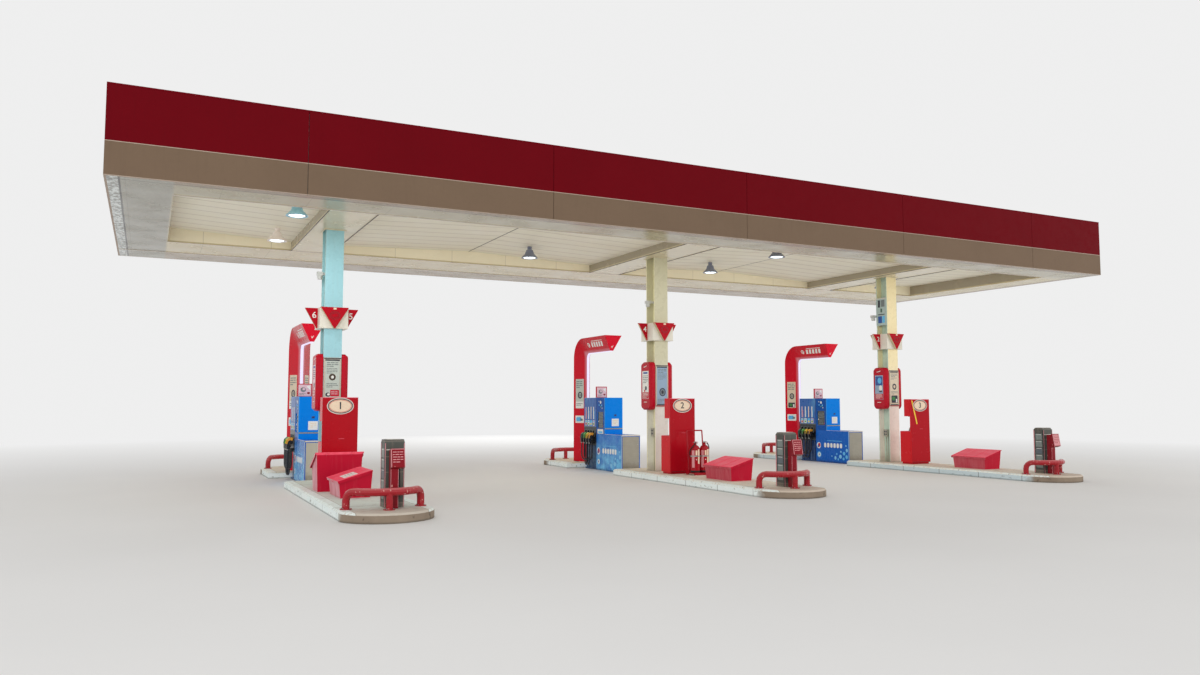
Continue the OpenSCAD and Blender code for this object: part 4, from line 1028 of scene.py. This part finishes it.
def service_unit(kit, cx):
    """Near recess with four dark doors, sides of five pale panels, worn edges, a flat cap."""
    recess = kit.near(cx, UNIT_NEAR + 25, KERB)
    for k in range(4):
        v = 135 + k * 145
        recess.box((-64, 64), (v, v + 130), (-1, 10), "unit", 4)
        recess.oval(45, v + 65, 7, 7, "alu", 13, 12)
    for s in (-1, 1):
        side = kit.side(s, cx + s * (UNIT_W / 2 - 8), UNIT_MID, KERB)
        for k in range(5):
            v = 105 + 134 * k
            side.box((-68, 68), (v, v + 120), (-1, 7), "panel_dark" if k == 2 else "panel", 3)
            side.plate(-58, 58, v + 100, v + 106, "print_white", 7.5)
        skin = kit.side(s, cx + s * UNIT_W / 2, UNIT_MID, KERB)
        for u in (-108, 90):
            skin.plate(u, u + 18, 10, 825, "worn_pink" if u * s > 0 else "dark")
    front = kit.near(cx, UNIT_NEAR, KERB)
    for u in (-127, 119):
        front.plate(u, u + 8, 10, 830, "worn_pink")
    front.plate(-110, 110, 738, 752, "trim", 2)
    kit.flat(cx, UNIT_MID, 0).box((-94, 94), (-68, 68), (999.5, 1004), "trim", 1.5)


def service_box(kit, i, x):
    """Red box on its post: worn edges and a sheet with small print, faded on the right island."""
    face = kit.face((x + 120, -4250, 655), (1, 0, 0), Vector((0, 40, 235)).normalized())
    for u in (-90, 82):
        face.plate(u, u + 8, 0, 236, "worn_pink", 2)
    face.plate(-90, 90, 228, 236, "worn_pink", 2)
    if i == 2:
        face.plate(-76, 76, 12, 220, "worn_pink", 1.2)
    face.rows(-66, 66, 200, 5, 32, 10, "ring_red" if i == 2 else "worn_pink", 3, 2)
    post = kit.near(x + 90, -4180, KERB)
    for u in (-50, 45):
        post.plate(u, u + 5, 20, 500, "worn_pink", 1.2)


def service_details(kit):
    for i, x in enumerate(COLUMNS):
        service_unit(kit, x + UNIT_OFF)
        service_box(kit, i, x)


# sand boxes: x, y, turn in degrees, height over the plain box's, half length at the foot, name
SAND = ((-6540, -2230, 0, 1.0, 390, "a"), (-6560, -1290, -90, 1.56, 320, "b"),
        (50, -2400, 0, 1.0, 390, "c"), (6330, -2400, 0, 1.0, 390, "d"))
SAND_HALF, SAND_FLARE, SAND_LOW, SAND_HIGH = 210, 25, 235, 375


def sand_place(x, y, turn):
    return Matrix.Translation(metres((x, y, KERB))) @ Matrix.Rotation(math.radians(turn), 4, "Z")


def leaning(angle, axis):
    return Matrix.Rotation(angle, 4, axis)


def sand_box_details(kit):
    """Sand boxes: a moulded line and ribs on the ends, latches on the high wall, a frame on the low one."""
    for x, y, turn, k, half_l, _ in SAND:
        base = sand_place(x, y, turn)
        low, high = SAND_LOW * k, SAND_HIGH * k
        lean = leaning(-math.atan(SAND_FLARE / high), "X")
        for s in (-1, 1):
            end = Face(kit, base @ on((0, s * half_l, 0), (-s, 0, 0), UP) @ lean)
            end.plate(-170, 170, 28, 36, "grit_rim", 2)
            for u in (-165, 155):
                end.box((u, u + 10), (40, low * 0.82), (-1, 6), "grit")
            end.box((-4, 4), (40, low * 0.86), (-1, 4), "grit", 1.5)
        wall = Face(kit, base @ on((SAND_HALF, 0, 0), (0, 1, 0), UP) @ lean)
        v = low * 0.55
        for u in (-200, 120):
            wall.box((u, u + 55), (v, v + 30), (-1, 6), "paper_pink")
            wall.box((u + 10, u + 45), (v - 22, v), (-1, 10), "grit_rim")
        lean = leaning(-math.atan(SAND_FLARE / low), "X")
        wall = Face(kit, base @ on((-SAND_HALF, 0, 0), (0, -1, 0), UP) @ lean)
        edge = half_l - 70
        for v in (32, low * 0.84):
            wall.box((-edge, edge), (v, v + 8), (-1, 3), "grit_rim", 1)
        for u in (-edge, edge - 8):
            wall.box((u, u + 8), (40, low * 0.84), (-1, 3), "grit_rim", 1)


def sand_lid(x, y, turn, k, half_l, name):
    """Lid: a raised edge, two shallow ribs, a grip under the free edge, and a worn label on the first."""
    kit = Kit(f"sand_lid_{name}_details", "box_pink", f"lid_{name}")
    low, high = SAND_LOW * k, SAND_HIGH * k
    run = 2 * (SAND_HALF + SAND_FLARE)
    tilt = math.atan((high - low) / run)
    length = run / math.cos(tilt)
    half = half_l + SAND_FLARE + 22
    lid = Face(kit, sand_place(x, y, turn) @ Matrix.Translation(metres((-run / 2, 0, low + 0.3)))
               @ leaning(-tilt, "Y") @ Matrix.Translation(metres((0, 0, 14))))
    for v in (-half + 4, -145, 135, half - 14):
        lid.box((-10, length - 35), (v, v + 10), (-1, 4), "grit_lid", 1.8)
    lid.box((-19, -9), (6 - half, half - 6), (-1, 4), "grit_lid", 1.8)
    if name == "a":
        lid.box((100, 300), (-300, 40), (-1, 5.5), "print_white")
        for u in (150, 195, 240):
            lid.box((u, u + 8), (-260, -60), (4, 6.2), "ink_grey")
    lid.box((-32, -20), (-60, 60), (-32, -18), "grit", 4)
    kit.make()


def extinguisher_details(kit):
    for s in (-1, 1):
        bottle = kit.flat(150 + s * 102.5, -1320, KERB + 45)
        bottle.lathe([(0, 0), (84, 0), (91.2, 12), (91.2, 40), (90.5, 42), (0, 42)], "rubber", 40)
        bottle.lathe([(0, 560), (28, 560), (30, 566), (30, 578), (24, 584), (0, 584)], "alu", 24)
        # labels wrapped on the cylinder, from one angle to another
        for a0, a1, v0, v1, finish in ((-165, -132, 100, 420, "worn_pink"), (-118, -96, 330, 420, "cream"),
                                       (-112, -104, 240, 260, "print_white"), (-88, -62, 170, 440, "cream")):
            bottle.prism(arc(0, 0, 91.2, a0, a1, 6) + arc(0, 0, 89.8, a1, a0, 6), v0, v1, finish)
        # discharge hose down the side
        pts = []
        for q in range(13):
            a = math.radians(90 + s * (15 * q - 150))
            drop = 560 - 30 * q - max(0, q - 6) * 100 / 6
            r = 60 + 43 * min(1, q / 4)
            pts.append((r * math.cos(a), r * math.sin(a), drop))
        bottle.tube(pts, 10, "rubber")
        # strap round the bottle
        bottle.ring(0, 0, 93.5, 93.5, 4, "alu", 324, 300, 40)


# Pumps

def pump_front(kit, i, x):
    """Steel end panel, edges of the low cabinet, and the near face and roof edge of the head."""
    kit.near(x, PUMP_NEAR + 4, 0).box((-200, 200), (63, 764), (-0.5, 3), "stainless")
    rim = kit.near(x, PUMP_NEAR, 0)
    for u in (-225, 219):
        rim.plate(u, u + 6, 40, LOW_H - 2, "trim", 2)
    rim.plate(-225, 225, LOW_H - 20, LOW_H, "trim", 2)
    rim.plate(-205, 205, 30, 85, "trim_dark", 1)
    rim.oval(160, 600, 12, 12, "alu", 6, 20)
    lid = kit.flat(x, PUMP_NEAR, LOW_H)
    for s in (-1, 1):
        lid.box(span(s * 222.5, 3.5), (0, HEAD_Y - PUMP_NEAR - 1), (-1, 5), "trim", 1)
    lid.box((-219, 219), (0, 12), (-1, 5), "trim", 1)
    # label in its holder, a lock and a pale strip
    head = kit.near(x, HEAD_Y, 0)
    head.plate(-56, 136, 965, 1146, "bright", 3, 10)
    head.plate(-48, 128, 973, 1138, "print_white", 4.5, 8)
    head.rows(-10, 95, 1105, 3, 34, 14, "cream", i + 2, 5.5)
    head.plate(10, 72, 1190, 1235, "ink_blue", 3, 10)
    head.oval(41, 1212, 12, 12, "dark", 6, 20)
    head.plate(-218, 218, 905, 932, "ink_grey", 4, 4)
    head.plate(-218, 218, 916, 921, "trim", 5)
    for u in (-225, 219):
        head.plate(u, u + 6, LOW_H, HEAD_H, "ink_sky")
    roof = kit.flat(x, HEAD_Y, HEAD_H)
    for s in (-1, 1):
        roof.box(span(s * 221.5, 3.5), (0, PUMP_FAR - HEAD_Y), (-1, 4), "ink_sky", 1)
    roof.box((-218, 218), (0, 7), (-1, 4), "ink_sky", 1)


def pump_screen(sunk, i):
    """Sunk screen: dark glass with two windows of digits, and keys under it."""
    sunk.plate(1974, 2251, 932, 1283, "glass", 6, 6)
    for z in (1190, 1120):
        sunk.plate(2010, 2215, z, z + 50, "ink_grey", 8, 4)
        for q in range(5):
            sunk.plate(2030 + 36 * q, 2048 + 36 * q, z + 12, z + 38, "dark", 9)
    for q in range(4):
        for z in (960, 1000, 1040):
            sunk.plate(2040 + 42 * q, 2066 + 42 * q, z, z + 26, "alu" if i == 0 else "ink_grey", 9, 4)
    sunk.oval(2215, 1075, 16, 16, "print_white", 9, 32)
    sunk.oval(2005, 975, 12, 12, "ink_red", 9, 32)


# y, z, radius and finish of the dots over the screen
DOTS = ((2100, 1500, 30, "print_white"), (2170, 1440, 18, "ink_sky"), (2050, 1430, 20, "ink_sky"),
        (2100, 1400, 15, "lime"), (2180, 1520, 12, "print_white"), (2030, 1370, 13, "print_white"))
# finishes of the four product labels: card, mark, bar and slip
LABELS = (("paper_pink", "lime", "print_white", "ink_sky"), ("ink_sky", "yellow", "cream", "ink_blue"),
          ("print_white", "lime", "print_white", "ink_sky"), ("paper", "ink_red", "paper_pink", "ink_red"))
# y, z and radius of the bubbles on the low cabinet
BUBBLES = ((1190, 330, 36), (1290, 250, 44), (1400, 290, 26), (1200, 170, 40), (1420, 170, 48),
           (1550, 230, 24), (1600, 130, 36), (1310, 120, 34), (1730, 170, 18), (1500, 100, 22),
           (1220, 440, 22))


def head_prints(face):
    """Frames of the screen, the display column and the nozzle bay, dots, and a label over each nozzle."""
    for y0, y1, z0, z1 in ((1964, 2261, 1285, 1295), (1964, 2261, 920, 930),
                           (1964, 1972, 930, 1285), (2253, 2261, 930, 1285)):
        face.plate(y0, y1, z0, z1, "ink_blue", 3)
    face.plate(2311, 2319, 600, HEAD_H - 10, "dark")
    for y, z, r, finish in DOTS:
        face.oval(y, z, r, r * 1.1, finish, n=32)
    for k, (card, mark, bar, slip) in enumerate(LABELS):
        y = nozzle_y(k)
        face.plate(y - 48, y + 48, 972, 1095, card, r=14)
        face.plate(y - 28, y + 28, 990, 1035, mark, 3, 8)
        face.plate(y - 36, y + 36, 1052, 1080, "ink_sky", 3, 4)
        face.plate(y - 14, y + 18, 1120, 1400, bar, 2, 12)
        face.plate(y - 40, y - 24, 1130, 1310, slip, 2, 5)
    face.plate(2320, 2930, 945, 957, "ink_grey", 4)
    face.plate(2320, 2930, 560, 568, "ink_grey", 3)


def low_prints(face, i):
    """Low cabinet: plain badge disc, pale ring, six blocks, a strip and bubbles."""
    face.oval(2205, 420, 74, 78, "print_white", n=32)
    face.oval(2190, 430, 46, 50, "ink_red", 3.5, 32)
    face.oval(2222, 400, 32, 34, "ink_blue", 4.5, 32)
    face.ring(2195, 190, 76, 76, 20, "ink_sky")
    face.oval(2195, 190, 52, 52, "print_white", n=32)
    face.oval(2195, 190, 20, 24, "ink_blue", 3.5, 32)
    for q in range(6):
        face.plate(1930 - 115 * q, 2010 - 115 * q, 375, 490, "print_white", r=36)
    face.plate(1360, 1900, 540, 552, "ink_sky", 2.5, 4)
    if i == 1:
        face.plate(1972, 2253, 805, 905, "print_white", 2, 10)
        face.plate(2010, 2215, 815, 860, "ink_sky", 3, 12)
    for q, (y, z, r) in enumerate(BUBBLES):
        face.oval(y, z, r, r * (1.0 if q % 3 else 1.25), "ink_sky" if q % 2 else "bubble", 2, 32)
    face.plate(PUMP_NEAR, PUMP_NEAR + 8, 35, LOW_H - 3, "ink_sky", 2)


def pump_back(kit, x):
    """Door of the hose module with louvres and a lock, and a blue panel under it."""
    back = kit.far(x, PUMP_FAR, 0)
    back.plate(-205, 205, 600, 1540, "dark", 4, 15)
    for k in range(8):
        back.box((-120, 120), (700 + 28 * k, 712 + 28 * k), (3, 9), "dark")
    back.oval(170, 1050, 13, 13, "alu", 9, 20)
    back.plate(-150, 150, 60, 520, "pump", 2, 10)


def pump_details(kit):
    for i, x in enumerate(COLUMNS):
        pump_front(kit, i, x)
        for s in (-1, 1):
            # way makes u the place along Y on both sides
            pump_screen(kit.side(s, x + s * (PUMP_W / 2 - 18), 0, 0, s), i)
            face = kit.side(s, x + s * PUMP_W / 2, 0, 0, s)
            head_prints(face)
            low_prints(face, i)
        pump_back(kit, x)


def topper_prints(kit):
    for x in COLUMNS:
        for way, face in ((1, kit.near(x - 50, 2395, HEAD_H)), (-1, kit.far(x - 50, 2425, HEAD_H))):
            face.plate(-118, 118, 18, 238, "paper_pink", 2, 6)
            face.oval(-30 * way, 140, 50, 46, "ink_grey", 3)
            face.oval(-20 * way, 150, 26, 24, "paper_pink", 4)
            face.prism([(30, 200), (100, 222), (104, 130)], SUNK, 3, "print_white")
            face.oval(70 * way, 75, 28, 20, "ring_red", 3)
            face.rows(-100, 30, 70, 2, 24, 10, "ink_grey", 5, 3)
        for u in (-120, 40):
            kit.flat(x - 50, 2410, HEAD_H).box((u, u + 80), (-20, 20), (-1, 6), "alu")


def nozzle_covers(kit):
    """Coloured sleeve over each nozzle, the lever in its guard, the hose's end, the holder on the module."""
    f, n = PUMP_W / 2, PUMP_W / 2 + HOSE_OUT
    sleeve = [(f + 12, 812), (n - 36, 822.5), (n + 12, 781), (n + 28.5, 700),
              (n + 12, 690), (n - 4, 748), (n - 40, 772), (f + 30, 758)]
    ridge = [(f + 12, 800.5), (n - 36, 811.5), (n + 10, 774), (n + 12, 781), (n - 36, 822.5), (f + 12, 812)]
    frame_bars = ((-50, -42, -8, 138), (42, 50, -8, 138), (-42, 42, 130, 138), (-42, 42, -8, 0))
    for x, s in itertools.product(COLUMNS, (-1, 1)):
        for k, colour in enumerate(("orange", "yellow", "lime", "lime_dark")):
            y = nozzle_y(k)
            face = kit.face((x, y, 0), (s, 0, 0), UP)
            for w in (24.5, -27.5):
                face.prism(sleeve, w, w + 3, colour)
            face.prism(ridge, -24.5, 24.5, colour)
            face.tube([(n - 52, 652, 0), (n - 46, 690, 0), (n - 34, 722, 0)], 5, "alu", 8)
            kit.flat(x + s * n, y, 575).lathe([(0, 0), (16.5, 0), (18.5, 6), (18.5, 30), (22, 34), (0, 34)],
                                              "alu", 20)
            pocket = kit.side(s, x + s * f, y, 740)
            for bar in frame_bars:
                pocket.plate(*bar, "ink_grey", 6)


# Pump arches

def arch_leg(face, i):
    """Prints on the pillar's slanted side; u runs from the outer back to the inner edge."""
    face.plate(60, 300, 1360, 2050, "paper" if i == 1 else "paper_warm", r=4)
    face.rows(80, 280, 2000, 4, 45, 20, "ink_grey", i + 1, 2.5)
    face.ring(190, 1670, 66, 80, 30, "ink")
    face.oval(190, 1670, 24, 34, "ink_grey")
    if i == 2:
        face.plate(85, 275, 1375, 1500, "ink", 2.5, 6)
        face.oval(160, 1440, 45, 40, "ink_green", 3.5)
        face.plate(220, 262, 1385, 1460, "print_white", 3.5)
    else:
        face.plate(65, 295, 1365, 1520, "print_white", 2, 4)
        face.rows(80, 280, 1480, 2, 36, 16, "ink_grey", i + 4, 3)
    face.plate(55, 305, 1020, 1190, "print_white", r=10)
    face.plate(80, 230, 1055, 1155, "ink_sky", 2.5, 30)
    face.plate(200, 270, 1070, 1120, "ink_grey", 2.5, 10)
    face.plate(6, 14, 150, 2450, "arch_end", 2)


def arch_arm(face):
    """A ring and five slanted stripes in place of lettering, under a thin line."""
    face.ring(2900, 195, 58, 58, 18, "print_white", 1.5)
    face.oval(2890, 190, 22, 26, "print_white", 1.5)
    for k in range(5):
        y = 2220 + 120 * k
        face.prism([(y, 135), (y + 75, 135), (y + 40, 255), (y - 35, 255)], SUNK, 1.5, "print_white")
    face.prism([(2180, 275), (2720, 275), (2710, 290), (2180, 290)], SUNK, 1.5, "print_white")


def arch_ends(kit, x):
    """Brighter plate with a small pale tick on the arm's end; door, hinges and lock on the pillar's back."""
    end = kit.face((x, ARCH_END, ARCH_UNDER), (1, 0, 0), Vector((0, -80, 340)).normalized())
    end.prism([(-38, 3), (38, 3), (206, 346), (-206, 346)], SUNK, 1.5, "arch_end")
    end.prism([(-12, 70), (0, 68), (30, 118), (18, 120)], 0, 3, "print_white")
    end.prism([(-20, 108), (-12, 70), (-4, 78), (-12, 112)], 0, 3, "print_white")
    back = kit.far(x, ARCH_BACK, 0)
    back.plate(-165, 165, 300, 1450, "arch_end", 3, 20)
    back.oval(125, 920, 13, 13, "alu", 8, 20)
    for v in (420, 1280):
        back.box((-178, -162), (v, v + 70), (0, 8), "alu")
    # seal between the pillar and the island
    for u in ((-217, -193), (193, 205)):
        kit.flat(x, 0, KERB).box(u, (3300, ARCH_BACK), (0, 8), "rubber")


def arch_details(kit):
    slope = (ARCH_WIDE - ARCH_NARROW) / ARCH_DEEP
    for i, x in enumerate(COLUMNS):
        for s in (-1, 1):
            along = Vector((slope, s, 0)).normalized()
            arch_leg(kit.face((x + s * ARCH_WIDE, ARCH_BACK, 0), along, UP, -s), i)
            rise = Vector((s * slope, 0, 1)).normalized()
            arch_arm(kit.face((x + s * ARCH_NARROW, 0, ARCH_UNDER), (0, s, 0), rise, s))
        arch_ends(kit, x)


# Pieces

def build(*pieces):
    """Pieces of the fixed body, each named after the function that describes it."""
    for describe, slot in pieces:
        kit = Kit(describe.__name__, slot)
        describe(kit)
        kit.make()


build((fascia_trims, "fascia_grey"), (soffit_trims, "soffit"), (lamp_lenses, "lamp_metal"),
      (sign_details, "sign_white"), (poster_prints, "poster"), (column_details, "column_paint"),
      (cabinet_details, "cabinet_red"), (hoop_bolts, "hoop_red"), (service_details, "unit_grey"),
      (sand_box_details, "box_pink"))
for row in SAND:
    sand_lid(*row)
build((extinguisher_details, "ext_red"), (pump_details, "pump_blue"), (topper_prints, "sign_red"),
      (nozzle_covers, "nozzle_black"), (arch_details, "arch_red"))


# Light and floor

PALE, AMBIENT = 0.86, 0.62


def make_floor():
    """Floor that fades, far away, into the pale background."""
    bpy.ops.mesh.primitive_plane_add(size=600)
    floor = bpy.context.object
    floor.name = "floor"
    s = plain("floor", (0.80, 0.79, 0.77), 0.85, speck=0.015, size=3.0)
    glow = s.node("ShaderNodeEmission", Color=(1.0, 1.0, 1.0), Strength=PALE)
    away = s.math("SQRT", s.math("ADD", s.times(s.place[X], s.place[X]), s.times(s.place[Y], s.place[Y])))
    join = s.tree.nodes.new("ShaderNodeMixShader")
    for i, value in enumerate((s.ramp(away, 8.0, 26.0), s.out.outputs[0], glow.outputs[0])):
        s.feed(join.inputs[i], value)
    s.feed(s.tree.nodes["Material Output"].inputs["Surface"], join.outputs[0])
    floor.data.materials.append(s.mat)


def make_world():
    """World: pale as the camera and reflections see it, dimmer as light on the object."""
    world = bpy.data.worlds.new("world")
    bpy.context.scene.world = world
    world.use_nodes = True
    t = world.node_tree
    ray = t.nodes.new("ShaderNodeLightPath")
    seen = ray.outputs["Is Camera Ray"]
    for kind in ("Is Glossy Ray", "Is Transmission Ray"):
        most = t.nodes.new("ShaderNodeMath")
        most.operation = "MAXIMUM"
        t.links.new(seen, most.inputs[0])
        t.links.new(ray.outputs[kind], most.inputs[1])
        seen = most.outputs[0]
    level = t.nodes.new("ShaderNodeMapRange")
    t.links.new(seen, level.inputs[0])
    level.inputs[3].default_value = AMBIENT
    level.inputs[4].default_value = PALE
    back = t.nodes["Background"]
    t.links.new(level.outputs[0], back.inputs["Strength"])
    back.inputs["Color"].default_value = (1, 1, 1, 1)


def lamp(name, at, to, size, watts, colour=(1, 1, 1)):
    data = bpy.data.lights.new(name, "AREA")
    data.shape = "DISK"
    data.size = size
    data.energy = watts
    data.color = colour
    light = bpy.data.objects.new(name, data)
    light.location = at
    light.rotation_euler = (Vector(to) - Vector(at)).to_track_quat("-Z", "Y").to_euler()
    light.visible_camera = False
    light.visible_glossy = False
    bpy.context.scene.collection.objects.link(light)


make_floor()
make_world()
lamp("key", (-20, -26, 7), (0, 0, 2.0), 12, 2400)
lamp("fill", (18, -22, 5), (2, 0, 2.0), 12, 1500)
lamp("back", (6, 24, 7), (0, 2, 2.5), 12, 1500)
for i, place in enumerate(LAMPS):
    x, y, z = metres(place)
    lamp(f"down_{i}", (x, y, z - 0.03), (x, y, 0), 0.25, 14, (0.96, 0.98, 1.0))

bpy.context.scene.view_settings.view_transform = "Standard"
